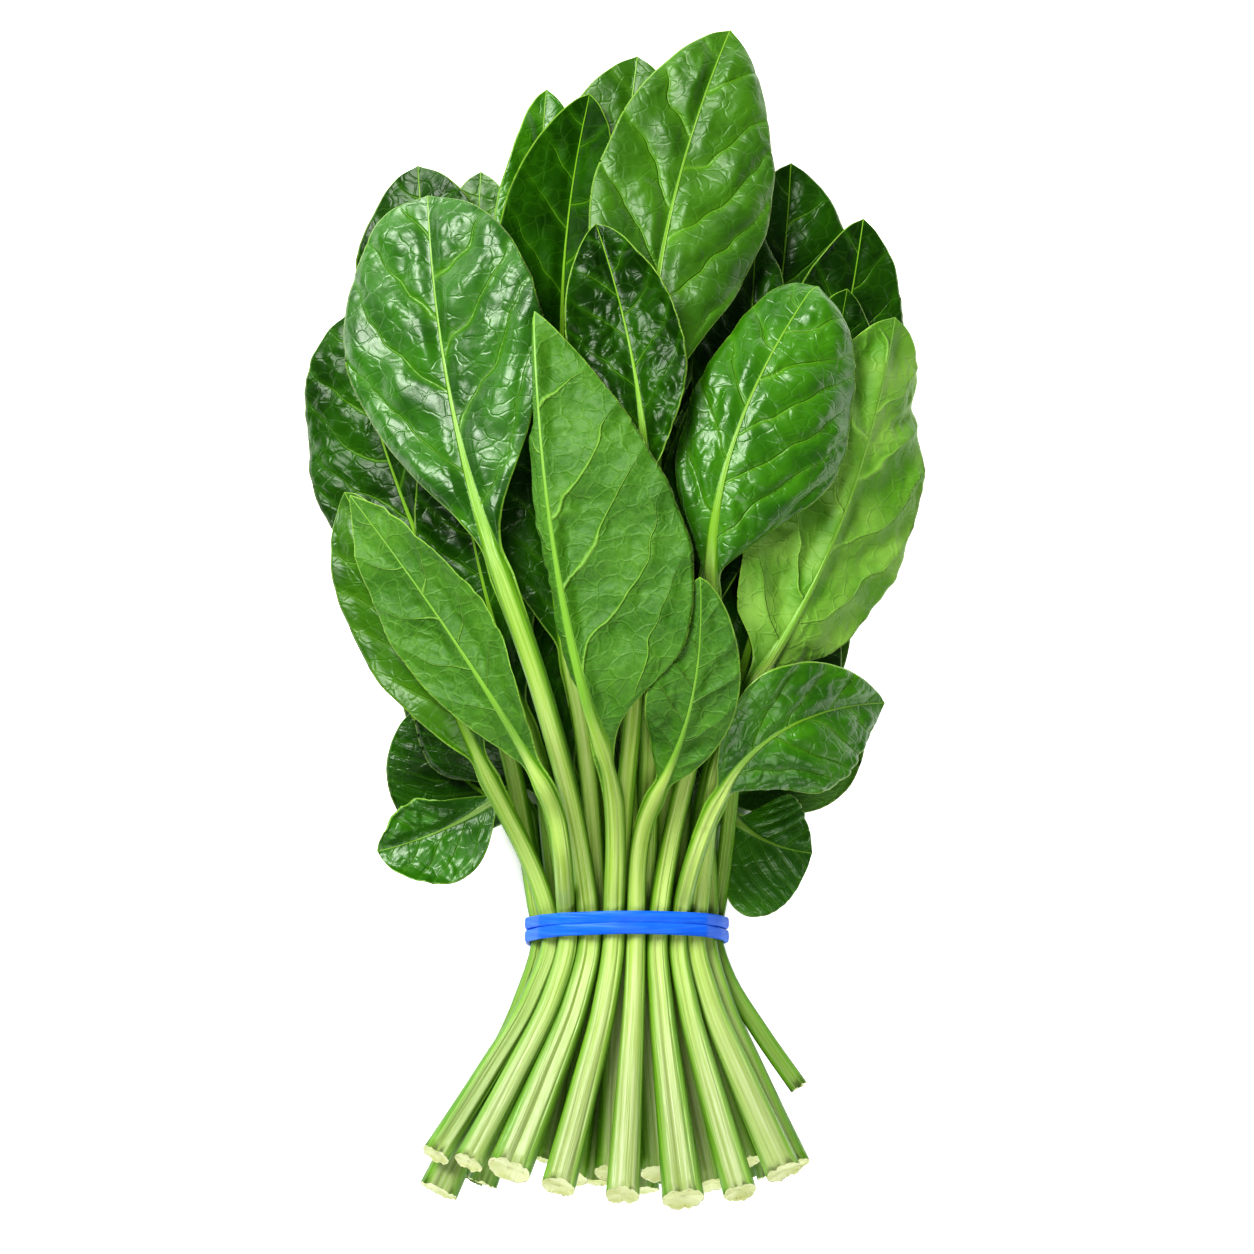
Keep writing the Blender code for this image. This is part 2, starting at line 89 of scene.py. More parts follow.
def rings_of(node):
    """(rings, tip): rings is (18, 8, 3), each from the left edge over the top; tip is the last point."""
    points, faces = welded(node)
    near = np.zeros((len(points), len(points)), bool)
    for a, b in ((0, 1), (1, 2), (2, 0)):
        near[faces[:, a], faces[:, b]] = near[faces[:, b], faces[:, a]] = True
    poles = np.flatnonzero(near.sum(axis=1) == RING)
    foot = poles[points[poles, 1].argmin()]
    step = np.full(len(points), -1)
    step[foot] = 0
    while (step < 0).any():
        reached = near[step == step.max()].any(axis=0) & (step < 0)
        step[reached] = step.max() + 1

    # The first ring is sorted by angle: left edge, top, right edge, underside.
    first = np.flatnonzero(step == 1)
    away = points[first] - points[first].mean(axis=0)
    along = (points[step == 2].mean(axis=0) - points[first].mean(axis=0))[:2]
    right = np.array([along[1], -along[0]]) / np.linalg.norm(along)
    angle = np.arctan2(away[:, 2], -(away[:, :2] @ right))
    ring = first[np.argsort(np.round(angle / (math.pi / 4)) % RING)]
    rings = [ring]
    for k in range(2, step.max()):
        both = near[np.roll(ring, 1)] & near[ring] & (step == k)
        ring = both.argmax(axis=1)
        rings.append(ring)
    return points[np.array(rings)], points[step.argmax()]


leaf_rings = {node: rings_of(node) for node in leaf_nodes}
rings, tip = leaf_rings["tall_right_leaf"]
print("a leaf has", len(rings), "rings; its tip is at", tip.round(1), "mm")

# %% [markdown]
# ## Curves, ease and noise
#
# Everything that follows is worked out on whole grids. Three helpers do most of it: a smooth curve through
# given values, a step that eases in and out, and gradient noise, which gives random hills of a chosen size.

# %% Helpers
def ease(t):
    """0 up to t = 0, 1 from t = 1, and 3t² - 2t³ between."""
    t = np.clip(t, 0, 1)
    return t * t * (3 - 2 * t)


def through(at, values, t):
    """A smooth curve through values at the places `at` (cubic Hermite, slopes from the neighbours)."""
    slope = np.gradient(values, at, axis=0)
    i = np.clip(np.searchsorted(at, t, side="right") - 1, 0, len(at) - 2)
    span = (at[i + 1] - at[i]).reshape(-1, *[1] * (values.ndim - 1))
    f = ((t - at[i]) / (at[i + 1] - at[i])).reshape(-1, *[1] * (values.ndim - 1))
    low, high = values[i], values[i + 1]
    cubic = low * (1 + 2 * f) * (1 - f) ** 2 + high * f * f * (3 - 2 * f)
    return cubic + span * (slope[i] * f * (1 - f) ** 2 - slope[i + 1] * f * f * (1 - f))


def noise(x, y, seed):
    """Hills about one unit across and within -1 to 1: random slopes on a square lattice, blended between."""
    turn = np.random.default_rng(seed).uniform(0, 2 * math.pi, (64, 64))
    i, j = np.floor(x).astype(int), np.floor(y).astype(int)
    fx, fy = x - i, y - j
    corner = {}
    for di in (0, 1):
        for dj in (0, 1):
            angle = turn[(i + di) % 64, (j + dj) % 64]
            corner[di, dj] = np.cos(angle) * (fx - di) + np.sin(angle) * (fy - dj)
    low = corner[0, 0] + (corner[1, 0] - corner[0, 0]) * ease(fx)
    high = corner[0, 1] + (corner[1, 1] - corner[0, 1]) * ease(fx)
    return 1.5 * (low + (high - low) * ease(fy))


hills = noise(*np.meshgrid(np.linspace(0, 9, 100), np.linspace(0, 9, 100)), 0)
print("this noise runs from", hills.min().round(2), "to", hills.max().round(2))


# %% [markdown]
# ## What makes one leaf differ from the next
#
# Spinach leaves on one plant range from dark and blistered to smooth and yellow-green. A look holds the
# sizes of the relief in millimetres and the name of the leaf's finish. Blades are pleated: the side veins
# lie in furrows and the tissue swells up between them. Smaller blisters sit between the finest veins.

# %% Looks
@dataclass
class Look:
    finish: str = "deep"
    pleat: float = 0.9  # height of the swelling between side veins
    blister: float = 0.55  # height of the blisters
    blister_size: float = 6.5
    wave: float = 1.6  # how far the margin waves up and down
    roll: float = 0.0  # how far the margin rolls up (or, below zero, down)
    veins: float = 7.0  # side veins on each side of the midrib
    detail: int = 1  # 0 where the leaf is buried, 2 where it lies in front


# The leaves that show, in the order in which they lie: the lowest first.
LOOKS = {
    "right_reflexed_leaf": Look("fresh", 1.0, 0.7, 7, 1.2, 0.6, 5, 1),
    "left_reflexed_leaf": Look("glossy", 0.9, 1.5, 7, 3.4, 1.5, 5, 1),
    "top_left_pale_leaf": Look("bright", 0.8, 0.4),
    "top_right_leaf": Look("dark", 1.0, 0.6, 7, 1.6, 0.0, 6, 1),
    "right_shoulder_leaf": Look("dark", 1.0, 0.7, 6, 1.6, 1.0, 6, 1),
    "top_left_leaf": Look("dark", 1.0, 0.8, 5.5, 2.0, 0.0, 6, 1),
    "tall_left_leaf": Look("fresh", 0.9, 0.5, 7, 1.8, 0.0, 6, 1),
    "tall_back_leaf": Look("bright", 0.9, 0.4, 8, 1.2, 0.0, 6, 1),
    "right_back_leaf": Look("dark", 0.9, 0.7, 6, 1.6),
    "inner_right_leaf": Look("dark", 0.9, 0.7, 6, 1.6),
    "left_dark_leaf": Look("dark", 0.9, 1.1, 5.0, 2.0, 0.0, 6, 1),
    "tall_middle_leaf": Look("shaded", 0.8, 0.6, 6, 1.4, 0.0, 7, 1),
    "inner_left_leaf": Look("dark", 0.9, 0.7, 6, 1.6),
    "inner_low_leaf": Look("dark", 0.9, 0.7, 6, 1.6),
    "inner_outer_left_leaf": Look("dark", 0.9, 0.7, 6, 1.6),
    "inner_outer_right_leaf": Look("dark", 0.9, 0.7, 6, 1.6),
    "inner_middle_leaf": Look("dark", 0.9, 0.7, 6, 1.6),
    "inner_back_leaf": Look("dark", 0.9, 0.7, 6, 1.6),
    "tall_right_leaf": Look("mid", 2.0, 0.5, 8, 1.2, -0.8, 6, 2),
    "centre_leaf": Look("dark", 0.7, 1.2, 5.5, 1.2, 0.6, 6, 2),
    "right_pale_leaf": Look("pale_underside", 2.0, 0.8, 8, 3.0, 0.5, 5, 2),
    "front_right_leaf": Look("fresh", 1.5, 0.7, 7.5, 1.2, -1.2, 6, 2),
    "low_left_pale_leaf": Look("bright", 0.8, 0.4, 7, 1.6, 1.0, 6, 1),
    "low_right_leaf": Look("fresh", 1.2, 0.7, 7, 1.6, 0.0, 5, 2),
    "front_left_leaf": Look("glossy", 2.3, 0.6, 8.5, 1.4, -1.0, 5, 2),
    "low_left_leaf": Look("underside", 1.3, 0.8, 8, 1.2, 0.0, 6, 2),
    "front_low_leaf": Look("underside", 1.2, 0.6, 6, 1.4, 0.5, 6, 2),
    "front_middle_leaf": Look("underside", 1.5, 0.8, 8, 1.4, 0.6, 5, 2),
}
hidden = sorted(set(leaf_nodes) - set(LOOKS))
order = hidden + list(LOOKS)
for name in hidden:
    finish = "deep" if slot_of[name] == "leaf_upper_side_up" else "underside"
    LOOKS[name] = Look(finish, 0.6, 0.4, 6.5, 1.0, detail=0)
print(len(order), "leaves, from", order[0], "to", order[-1])

# %% [markdown]
# ## The middle surface of a leaf
#
# A leaf is a grid that runs from the cut end to the tip and once round the section. It is built around its
# middle surface, which comes from the frame's rings as five columns: the two edges, the middle, and one
# halfway on each side. The keel of the midrib is left out here, because it comes back with the section.

# %% Five columns
def upper_up(node):
    """Whether the leaf lies with its own upper side up."""
    return slot_of[node] == "leaf_upper_side_up"


def five_columns(node):
    """(columns, width, height): five columns of the middle surface over the rings and the tip, and at each
    ring half the leaf's width and half its height in the middle, all in millimetres."""
    rings, tip = leaf_rings[node]
    top, under = rings[:, :5], rings[:, [0, 7, 6, 5, 4]]
    columns = (top + under) / 2
    width = np.linalg.norm(columns[:, 4] - columns[:, 0], axis=1) / 2
    plate = (top[:, 1, 2] - under[:, 1, 2]) / 2
    keel_free = top[:, 2, 2] - plate if upper_up(node) else under[:, 2, 2] + plate
    is_blade = ease((width - width[STALK_RINGS]) / 4) * (np.arange(len(rings)) > STALK_RINGS)
    columns[:, 2, 2] += (keel_free - columns[:, 2, 2]) * is_blade
    for quarter, edge in ((1, 0), (3, 4)):
        out = columns[:, edge] - columns[:, 2]
        mid = columns[:, quarter] - columns[:, 2]
        share = np.linalg.norm(mid, axis=1) / np.linalg.norm(out, axis=1)
        columns[:, quarter] = columns[:, 2] + mid * (0.5 / share)[:, None]
    columns = np.concatenate([columns, np.repeat(tip[None, None], 5, axis=1)])
    return columns, width, (top[:, 2, 2] - under[:, 2, 2]) / 2


print("this leaf is", round(2 * five_columns("tall_right_leaf")[1].max()), "mm wide")

# %% [markdown]
# ## Rows along the leaf
#
# A smooth curve runs lengthwise through each column. Towards the tip the outline closes like a circle does,
# so the rows are spaced by the square root of the distance left. The stalk turns into the midrib, which
# thins out quickly and then keeps a hair's width to the tip.

# %% Rows
DETAIL = ((26, 44, 28), (46, 120, 48), (70, 230, 80))  # rows on the stalk and the blade, columns a side
TURN_THIN = 22  # millimetres in which the stalk's section gives way to the blade's
THINNING, HAIR = 4.4, 0.06  # how fast the midrib thins out, and the share of its width that it keeps
quick_share = 1.0


def rows_of(node, stalk_rows, blade_rows):
    """The rows of a leaf, by name. Lengths are in millimetres."""
    columns, width, height = five_columns(node)
    steps = np.linalg.norm(np.diff(columns[:, 2], axis=0), axis=1)
    walked = np.append(0, np.cumsum(steps))
    length, base = walked[-1], walked[STALK_RINGS]
    at = 1 - np.sqrt(1 - walked / length)
    places = np.concatenate([
        np.linspace(0, at[STALK_RINGS], stalk_rows, endpoint=False),
        np.linspace(at[STALK_RINGS], 1, blade_rows + 1)[:-1],
    ])
    along = length * (1 - (1 - places) ** 2)
    y = (along - base)[:, None]  # from where the blade starts
    reached = np.clip(y / (length - base), 0, 1)
    before_tip = np.clip(places, 0, at[-2])
    stalk_width = through(at[:-1], width, before_tip)[:, None]
    midrib_width = width[STALK_RINGS] * ((1 - HAIR) * np.exp(-THINNING * reached) + HAIR)
    return SimpleNamespace(
        five=through(at, columns, places),  # five points of the middle surface
        along=along[:, None],  # how far from the cut end
        y=y,
        span=length - base,  # the blade's length
        reached=reached,  # 0 up to the blade, 1 at the tip
        thin=ease(y / TURN_THIN),  # 0 on the stalk, 1 on the blade
        rib=np.where(y < 0, stalk_width, midrib_width),  # half the width of the stalk or midrib
        stalk_high=through(at[:-1], height, before_tip)[:, None],  # half the height of the stalk
    )


print("its blade is", round(rows_of("tall_right_leaf", 10, 10).span), "mm long")

# %% [markdown]
# ## Points across the leaf
#
# Round a stalk the points stand at even angles, and on the blade they crowd towards the midrib. A second
# smooth curve runs through the five columns of each row. The blade goes on down the stalk as a narrow
# wing, and its outline is never quite even.

# %% Points across
WING, WING_REACH = 0.7, 9  # how wide the wing is, and how soon it fades, in millimetres
UNEVEN = 0.035  # how far the outline strays, as a share of the width


def spread_across(row, half, winged, seed):
    """(middle, u, x, side): the middle surface at half + 1 points a row, u from -1 at the left edge to 1 at
    the right one, x from the midrib in millimetres, and how wide the leaf is on that side."""
    even = np.linspace(-1, 1, half + 1)
    crowded = np.sign(even) * np.abs(even) ** 1.35
    u = -np.cos((even + 1) / 2 * math.pi) * (1 - row.thin) + crowded * row.thin
    five = np.moveaxis(row.five, 1, 0)
    i = np.clip(np.floor((u + 1) * 2).astype(int), 0, 3)
    f = ((u + 1) * 2 - i)[..., None]
    slope = np.gradient(five, np.linspace(-1, 1, 5), axis=0)
    k = np.arange(len(row.y))[:, None]
    middle = five[i, k] * (1 + 2 * f) * (1 - f) ** 2 + five[i + 1, k] * f * f * (3 - 2 * f)
    middle += 0.5 * (slope[i, k] * f * (1 - f) ** 2 - slope[i + 1, k] * f * f * (1 - f))

    centre = row.five[:, 2][:, None]
    left = np.linalg.norm(row.five[:, 0] - row.five[:, 2], axis=1)[:, None]
    right = np.linalg.norm(row.five[:, 4] - row.five[:, 2], axis=1)[:, None]
    side = np.where(u < 0, left, right)
    wing = WING * np.exp(-np.abs(row.y + 2) / WING_REACH) * winged
    uneven = UNEVEN * noise(row.y / 17 + 9.1 * np.sign(u), 0 * u + seed, seed) * row.thin
    middle = centre + (middle - centre) * (1 + wing / np.maximum(side, 2) + uneven)[..., None]
    return middle, u, u * (side + wing), side


row = rows_of("tall_right_leaf", 10, 10)
middle, u, x, side = spread_across(row, 12, True, 0)
print("across it, x runs from", x.min().round(1), "to", x.max().round(1), "mm")

# %% [markdown]
# ## Relief of the sheet
#
# The phase counts the side veins, which run outwards and forwards from the midrib: it is a whole number on
# each of them. Between two veins the blade swells up, blisters lie on the swelling, and finer crinkles on
# those. The margin waves and rolls. All this moves the whole sheet, so a swelling on the upper side is a
# hollow underneath, as in a real leaf.

# %% Relief
def relief_of(look, row, u, x, seed):
    """(relief, phase): how far the sheet rises to its own upper side, in millimetres, and the phase."""
    y = row.y
    veined = (y - 0.9 * np.abs(x) - 0.02 * x**2) / row.span
    phase = look.veins * (1.15 * veined - 0.15 * veined * np.abs(veined)) + 0.5 * (x < 0)
    phase = phase + 0.26 * noise(x / 19, y / 19, seed + 1) + 0.10 * noise(x / 7, y / 7, seed + 10)
    on_blade = ease(y / 16) * ease((1 - row.reached) * 9)
    off_rib = ease((np.abs(x) - 0.5 * row.rib) / 4)
    swell = np.abs(np.sin(math.pi * phase)) ** 0.8 * (0.8 + 0.6 * noise(x / 12, y / 12, seed + 8))
    relief = look.pleat * swell * off_rib * (1 - 0.35 * np.abs(u) ** 4)
    size = look.blister_size
    warp = 0.35 * noise(x / 11, y / 11, seed + 2)
    relief += look.blister * off_rib * np.sqrt(noise(x / size + warp, y / size - warp, seed + 3) ** 2 + 0.01)
    crinkle = np.sqrt(noise(x / 3.6 + 2 * warp, y / 4.4 - warp, seed + 4) ** 2 + 0.006)
    relief += 1.1 * look.blister * off_rib * crinkle * (0.6 + 0.8 * noise(x / 16, y / 16, seed + 11))
    edge = np.abs(u) ** 3
    relief += look.wave * edge * noise(y / 19 + 5 * np.sign(u), 0 * u, seed + 5) * 1.4
    relief += look.roll * ease((np.abs(u) - 0.7) / 0.3) ** 2 * (1 + noise(y / 30, 0 * u, seed + 6))
    relief += 1.5 * noise(x / 30, y / 30, seed + 7) * off_rib
    return relief * on_blade, phase


relief, phase = relief_of(LOOKS["tall_right_leaf"], row, u, x, 0)
print("its sheet rises by up to", relief.max().round(1), "mm, and its phase reaches", phase.max().round(1))

# %% [markdown]
# ## The section
#
# The section is the union of a rounded rib, which is the whole stalk lower down, and a thin plate, which is
# the blade. The fourth root of the sum of their fourth powers joins the two with a small fillet. A stalk is
# grooved lengthwise and has a channel on its upper side. The midrib stands out further underneath.

# %% The section
PLATE = 0.5  # the blade's thickness in millimetres
GROOVE, CHANNEL = 0.14, 0.30  # how deep the grooves and the channel are, as a share of the stalk


def height_of(row, u, x, sign, grown, seed):
    """How far one side lies from the middle surface, in millimetres. sign is 1 for the side that is on top
    and -1 for the other, and grown tells whether it is the leaf's own upper side."""
    rounded = np.sqrt(np.clip(1 - (x / row.rib) ** 2, 0, 1))
    plate = PLATE / 2 * np.sqrt(np.clip(1 - np.abs(u) ** 12, 0, 1))
    blade_rib = row.rib * (0.30 if grown else 0.85)
    rib = (row.stalk_high * (1 - row.thin) + blade_rib * row.thin) * rounded
    channel = CHANNEL * np.exp(-((x / row.rib / 0.42) ** 2)) * (1 - row.thin) if grown else 0
    angle = np.arccos(np.clip(-x / row.rib, -1, 1)) * sign
    strands = np.abs(np.sin(3.1 * angle + 0.7 * np.sin(1.7 * angle + seed) + 0.008 * row.y))
    groove = 1 - GROOVE * (1 - row.thin) * (1 - strands) ** 2 * (np.abs(x) <= row.rib)
    height = (rib**4 + plate**4) ** 0.25 * (1 - channel) * groove
    height[:, [0, -1]] = 0
    return height


print("its stalk is", 2 * height_of(row, u, x, 1, True, 0).max().round(1), "mm thick at most")

# %% [markdown]
# ## The leaf as one grid
#
# The two sides stand off the middle surface along its normal, and the ring goes over the top and back
# underneath. Each point also carries numbers that the finish reads: its place on the leaf and which side
# it is on, the phase, the distances to the edge and across the rib, and the distance from the cut.

# %% The leaf grid
RIM_FROM, NO_RIM = -14, 9.0  # the pale rim starts before the blade, and the stalk counts as 9 mm from it


def leaf_grid(node, look, seed):
    """The leaf's points (rows, ring, 3) in millimetres, its tip, and the numbers that its finish reads."""
    stalk_rows, blade_rows, half = [int(n * quick_share) for n in DETAIL[look.detail]]
    row = rows_of(node, stalk_rows, blade_rows)
    middle, u, x, side = spread_across(row, half, look.detail > 0, seed)
    relief, phase = relief_of(look, row, u, x, seed)
    relief = relief * (1 if upper_up(node) else -1)

    facing = np.cross(np.gradient(middle, axis=1), np.gradient(middle, axis=0))
    facing /= np.linalg.norm(facing, axis=2)[..., None] + 1e-9
    top, bottom = [
        middle + facing * (relief + sign * height_of(row, u, x, sign, grown, seed))[..., None]
        for sign, grown in ((1, upper_up(node)), (-1, not upper_up(node)))
    ]

    def once_round(over, under):
        over, under = np.broadcast_arrays(over, under)
        return np.concatenate([over, under[:, -2:0:-1]], axis=1)

    def both_sides(values):
        values = np.broadcast_to(values, x.shape)
        return once_round(values, values)

    ring = once_round(top, bottom)
    own_upper = np.concatenate([np.ones(half + 1), np.zeros(half - 1)]) == upper_up(node)
    own_upper = np.broadcast_to(own_upper, ring.shape[:2]).astype(float)
    to_edge = np.where(row.y > RIM_FROM, (1 - np.abs(u)) * side, NO_RIM)
    facts = {
        "place": (both_sides(x), both_sides(row.y), own_upper),
        "form": (both_sides(phase), both_sides(to_edge), both_sides(np.abs(x) / row.rib)),
        "part": (both_sides(1 - row.thin), both_sides(row.along), np.ones(ring.shape[:2])),
    }
    facts = {name: np.stack(three, axis=2) for name, three in facts.items()}
    tip = leaf_rings[node][1] + facing[-1, half // 2] * relief[-1, half // 2]
    return ring, tip, facts


ring, tip, facts = leaf_grid("tall_right_leaf", LOOKS["tall_right_leaf"], 0)
print("its grid has", ring.shape[0], "rows of", ring.shape[1], "points, with", 3 * len(facts), "numbers each")

# %% [markdown]
# ## The cut end of a stalk
#
# A knife leaves a flat, slightly ragged face of pale pith. The first rows of the stalk slide along it until
# they lie in a slanting plane, and a few shrinking rings close the face.

# %% Cut ends
CUT_RINGS = (0.985, 0.95, 0.88, 0.76, 0.58, 0.36, 0.16)  # shares of the way out from the middle
CUT_REACH = 14.0  # how far up the stalk the rows slide, in millimetres
CUT_RADIUS = 5  # about half the width of a cut stalk, in millimetres, to which its pattern is laid out
CAP_MOST = 0.98  # the most that a point of the face carries as its share; the rest of the leaf carries 1


def with_cut_end(ring, facts, seed, slant):
    """The grid with its first rows moved onto a slanting plane, and rings that close the cut face."""
    centre = ring[0].mean(axis=0)
    axis = centre - ring[4].mean(axis=0)
    axis /= np.linalg.norm(axis)
    normal = axis + np.array([0, 0, slant])
    normal /= np.linalg.norm(normal)
    shift = -((ring[0] - centre) @ normal) / (axis @ normal)
    turn = np.arange(ring.shape[1]) / ring.shape[1] * 2 * math.pi
    # The edge strays in waves round the stalk and in finer tears, in millimetres.
    ragged = 0.4 * noise(1.6 * np.cos(turn) + 7, 1.6 * np.sin(turn) + 7, seed)
    ragged += 0.28 * noise(4.5 * np.cos(turn) + 9, 4.5 * np.sin(turn) + 9, seed + 1)
    fade = (1 - ease(facts["part"][:, 0, 1] / CUT_REACH))[:, None, None]
    flat = ring[0] + shift[:, None] * axis
    ring = ring + fade * (shift + ragged)[None, :, None] * axis

    # The face is a little hollow and uneven, and keeps to the ragged edge.
    cap, cap_facts = [], {name: [] for name in facts}
    for share in CUT_RINGS:
        dip = 0.25 * share * noise(3 * share * np.cos(turn), 3 * share * np.sin(turn), seed + 9)
        dip += 0.5 * (1 - share**2) - ragged * share**9
        cap.append(centre + (flat - centre) * share - dip[:, None] * axis)
        for name, values in facts.items():
            row = values[0].copy()
            if name == "part":
                row[:, 2] = share * CAP_MOST
            if name == "place":
                row[:, 0] = share * CUT_RADIUS * np.cos(turn)
                row[:, 1] = share * CUT_RADIUS * np.sin(turn)
            cap_facts[name].append(row)
    ring = np.concatenate([np.array(cap[::-1]), ring])
    facts = {name: np.concatenate([np.array(cap_facts[name][::-1]), facts[name]]) for name in facts}
    return ring, facts, cap[-1].mean(axis=0)


print("a cut face closes in", len(CUT_RINGS), "rings")

# %% [markdown]
# ## Laying the leaves on one another
#
# Puckered leaves would poke through their neighbours. So the leaves are laid down from the lowest to the
# highest. A height map of the pile says how high each spot already is, and the next leaf is raised
# wherever it would sink into it. The rise is spread out softly, so that the leaf bends over what is under it.

# %% The pile
band_low, band_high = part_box("rubber_band")
BAND_Y = (band_low.y + band_high.y) / 2 / MM
CELL = 0.8  # the width of a spot of the height map, in millimetres
PILE_LOW = np.array([-120.0, -200.0])  # the map's lowest corner, in millimetres
pile = np.full((300, 500), -1.0)  # how high each spot is, in millimetres
STEADY, FREE = 14, 39  # up to 14 mm beyond the band the stalks stay put, and from 39 mm they are free
GAP = 0.25  # the air left between two leaves, in millimetres
SETTLE_ROUNDS, SOFTEN_ROUNDS = 3, 4


def cells(points):
    """Which spot of the height map each point lies over."""
    index = ((points[..., :2] - PILE_LOW) / CELL).astype(int)
    return index[..., 0], index[..., 1]


def settle(ring, stalk):
    """Raises the leaf clear of the pile, then adds it to the pile. stalk tells how far each row is still a
    stalk, from 1 to 0: a row of a stalk rises as one piece."""
    free = ease((ring[..., 1] - BAND_Y - STEADY) / (FREE - STEADY))
    for _ in range(SETTLE_ROUNDS):
        need = np.clip(pile[cells(ring)] + GAP - ring[..., 2], 0, None)
        half = ring.shape[1] // 2
        need = np.maximum(need, np.concatenate([need[:, :1], need[:, :0:-1]], axis=1))
        for _ in range(SOFTEN_ROUNDS):
            around = np.pad(need, ((1, 1), (0, 0)), mode="edge")
            eased = (around[:-2] + around[2:] + np.roll(need, 1, axis=1) + np.roll(need, -1, axis=1)) / 4
            need = np.maximum(need, eased)
        stalk_need = need.max(axis=1, keepdims=True)
        is_stalk = stalk[:, None]
        ring[..., 2] += free * (need * (1 - is_stalk) + stalk_need * is_stalk)
    for a in (ring, (ring[1:] + ring[:-1]) / 2):
        for b in (a, (a + np.roll(a, 1, axis=1)) / 2):
            np.maximum.at(pile, cells(b), b[..., 2])
    return ring


print("the height map covers", *[round(n * CELL) for n in pile.shape], "mm")

# %% [markdown]
# ## Making a mesh of a grid
#
# The grid becomes quads, with a fan of triangles at each pole. A signed volume tells whether the faces
# point outwards.

# %% Mesh from a closed grid
def placed(name, data):
    """A new object of the scene that holds the data."""
    made = bpy.data.objects.new(name, data)
    bpy.context.scene.collection.objects.link(made)
    return made


def grid_mesh(name, ring, ends, facts):
    """A smooth closed mesh over the rows of a grid, with a pole beyond the first and the last row."""
    rows, around = ring.shape[:2]
    points = np.concatenate([ring.reshape(-1, 3), np.array(ends)])
    i, j = np.meshgrid(np.arange(rows - 1), np.arange(around), indexing="ij")
    a = (i * around + j).ravel()
    b = (i * around + (j + 1) % around).ravel()
    quads = np.stack([a, a + around, b + around, b], axis=1)
    k = np.arange(around)
    nxt = (k + 1) % around
    foot, tip = rows * around, rows * around + 1
    last = (rows - 1) * around
    fans = np.concatenate([
        np.stack([np.full(around, foot), k, nxt], axis=1),
        np.stack([np.full(around, tip), last + nxt, last + k], axis=1),
    ])
    halves = np.concatenate([quads[:, [0, 1, 2]], quads[:, [0, 2, 3]], fans])
    if np.linalg.det(points[halves]).sum() < 0:
        quads, fans = quads[:, ::-1], fans[:, ::-1]
    mesh = bpy.data.meshes.new(name)
    mesh.vertices.add(len(points))
    mesh.vertices.foreach_set("co", (points * MM).astype(np.float32).ravel())
    mesh.loops.add(quads.size + fans.size)
    mesh.loops.foreach_set("vertex_index", np.concatenate([quads.ravel(), fans.ravel()]).astype(np.int32))
    mesh.polygons.add(len(quads) + len(fans))
    starts = np.concatenate([np.arange(len(quads)) * 4, quads.size + np.arange(len(fans)) * 3])
    mesh.polygons.foreach_set("loop_start", starts.astype(np.int32))
    mesh.update(calc_edges=True)
    for label, values in facts.items():
        flat = values.reshape(-1, 3)
        flat = np.concatenate([flat, values[0].mean(axis=0)[None], values[-1].mean(axis=0)[None]])
        layer = mesh.attributes.new(label, "FLOAT_VECTOR", "POINT")
        layer.data.foreach_set("vector", flat.astype(np.float32).ravel())
    mesh.shade_smooth()
    return placed(name, mesh)


# %% [markdown]
# ## Colours and nodes
#
# A colour is given as it looks on a screen, an sRGB hex code, and one function turns it into the linear
# light that the shader works with. Another adds a node with its settings and its feeds.

# %% Colours and nodes
def linear(code, alpha=1.0):
    """An sRGB hex colour as linear red, green, blue and alpha."""
    channels = np.array([int(code[k:k + 2], 16) / 255 for k in (1, 3, 5)])
    curved = np.where(channels <= 0.04045, channels / 12.92, ((channels + 0.055) / 1.055) ** 2.4)
    return (*curved.tolist(), alpha)


def add(tree, kind, feeds, **settings):
    """Adds a node with its settings, and feeds its inputs.

    feeds holds the inputs in their order, or maps an input's name or number to its feed. A feed is a value,
    a hex colour, a socket, or a node, which stands for the first of its outputs in use.
    """
    made = tree.nodes.new("ShaderNode" + kind)
    for name, value in settings.items():
        setattr(made, name, value)
    for key, feed in (feeds if isinstance(feeds, dict) else dict(enumerate(feeds))).items():
        if isinstance(feed, bpy.types.Node):
            feed = next(out for out in feed.outputs if out.enabled)
        if isinstance(feed, bpy.types.NodeSocket):
            tree.links.new(feed, made.inputs[key])
        else:
            made.inputs[key].default_value = linear(feed) if isinstance(feed, str) else feed
    return made


SMOOTH = {"interpolation_type": "SMOOTHSTEP"}  # makes a Map Range ease in and out
COLOURS = {"data_type": "RGBA"}  # makes a Mix blend two colours
FACTOR, LOW, HIGH = 0, 6, 7  # the inputs of such a Mix
print("mid grey, #808080, is", round(linear("#808080")[0], 3), "in linear light")

# %% [markdown]
# ## The finish of a leaf: where a point lies
#
# A spinach leaf is living tissue under a thin wax cuticle. Its finish follows the leaf, not the room, so it
# reads the numbers that the mesh carries. Patterns are spaced in millimetres on the flat leaf. They are
# moved by the leaf's two chance numbers, and the two sides lie far apart in them, so neither two leaves nor
# the two sides of one look alike.

# %% The numbers on a leaf
FACT_NAMES = ("place", "form", "part", "own")
CHANCE_MOVES = (310.0, 570.0, 0.0)  # how far the chance numbers move the patterns, in millimetres
SIDES_APART = 7.3  # how far apart the two sides lie in every pattern, in the pattern's own cells


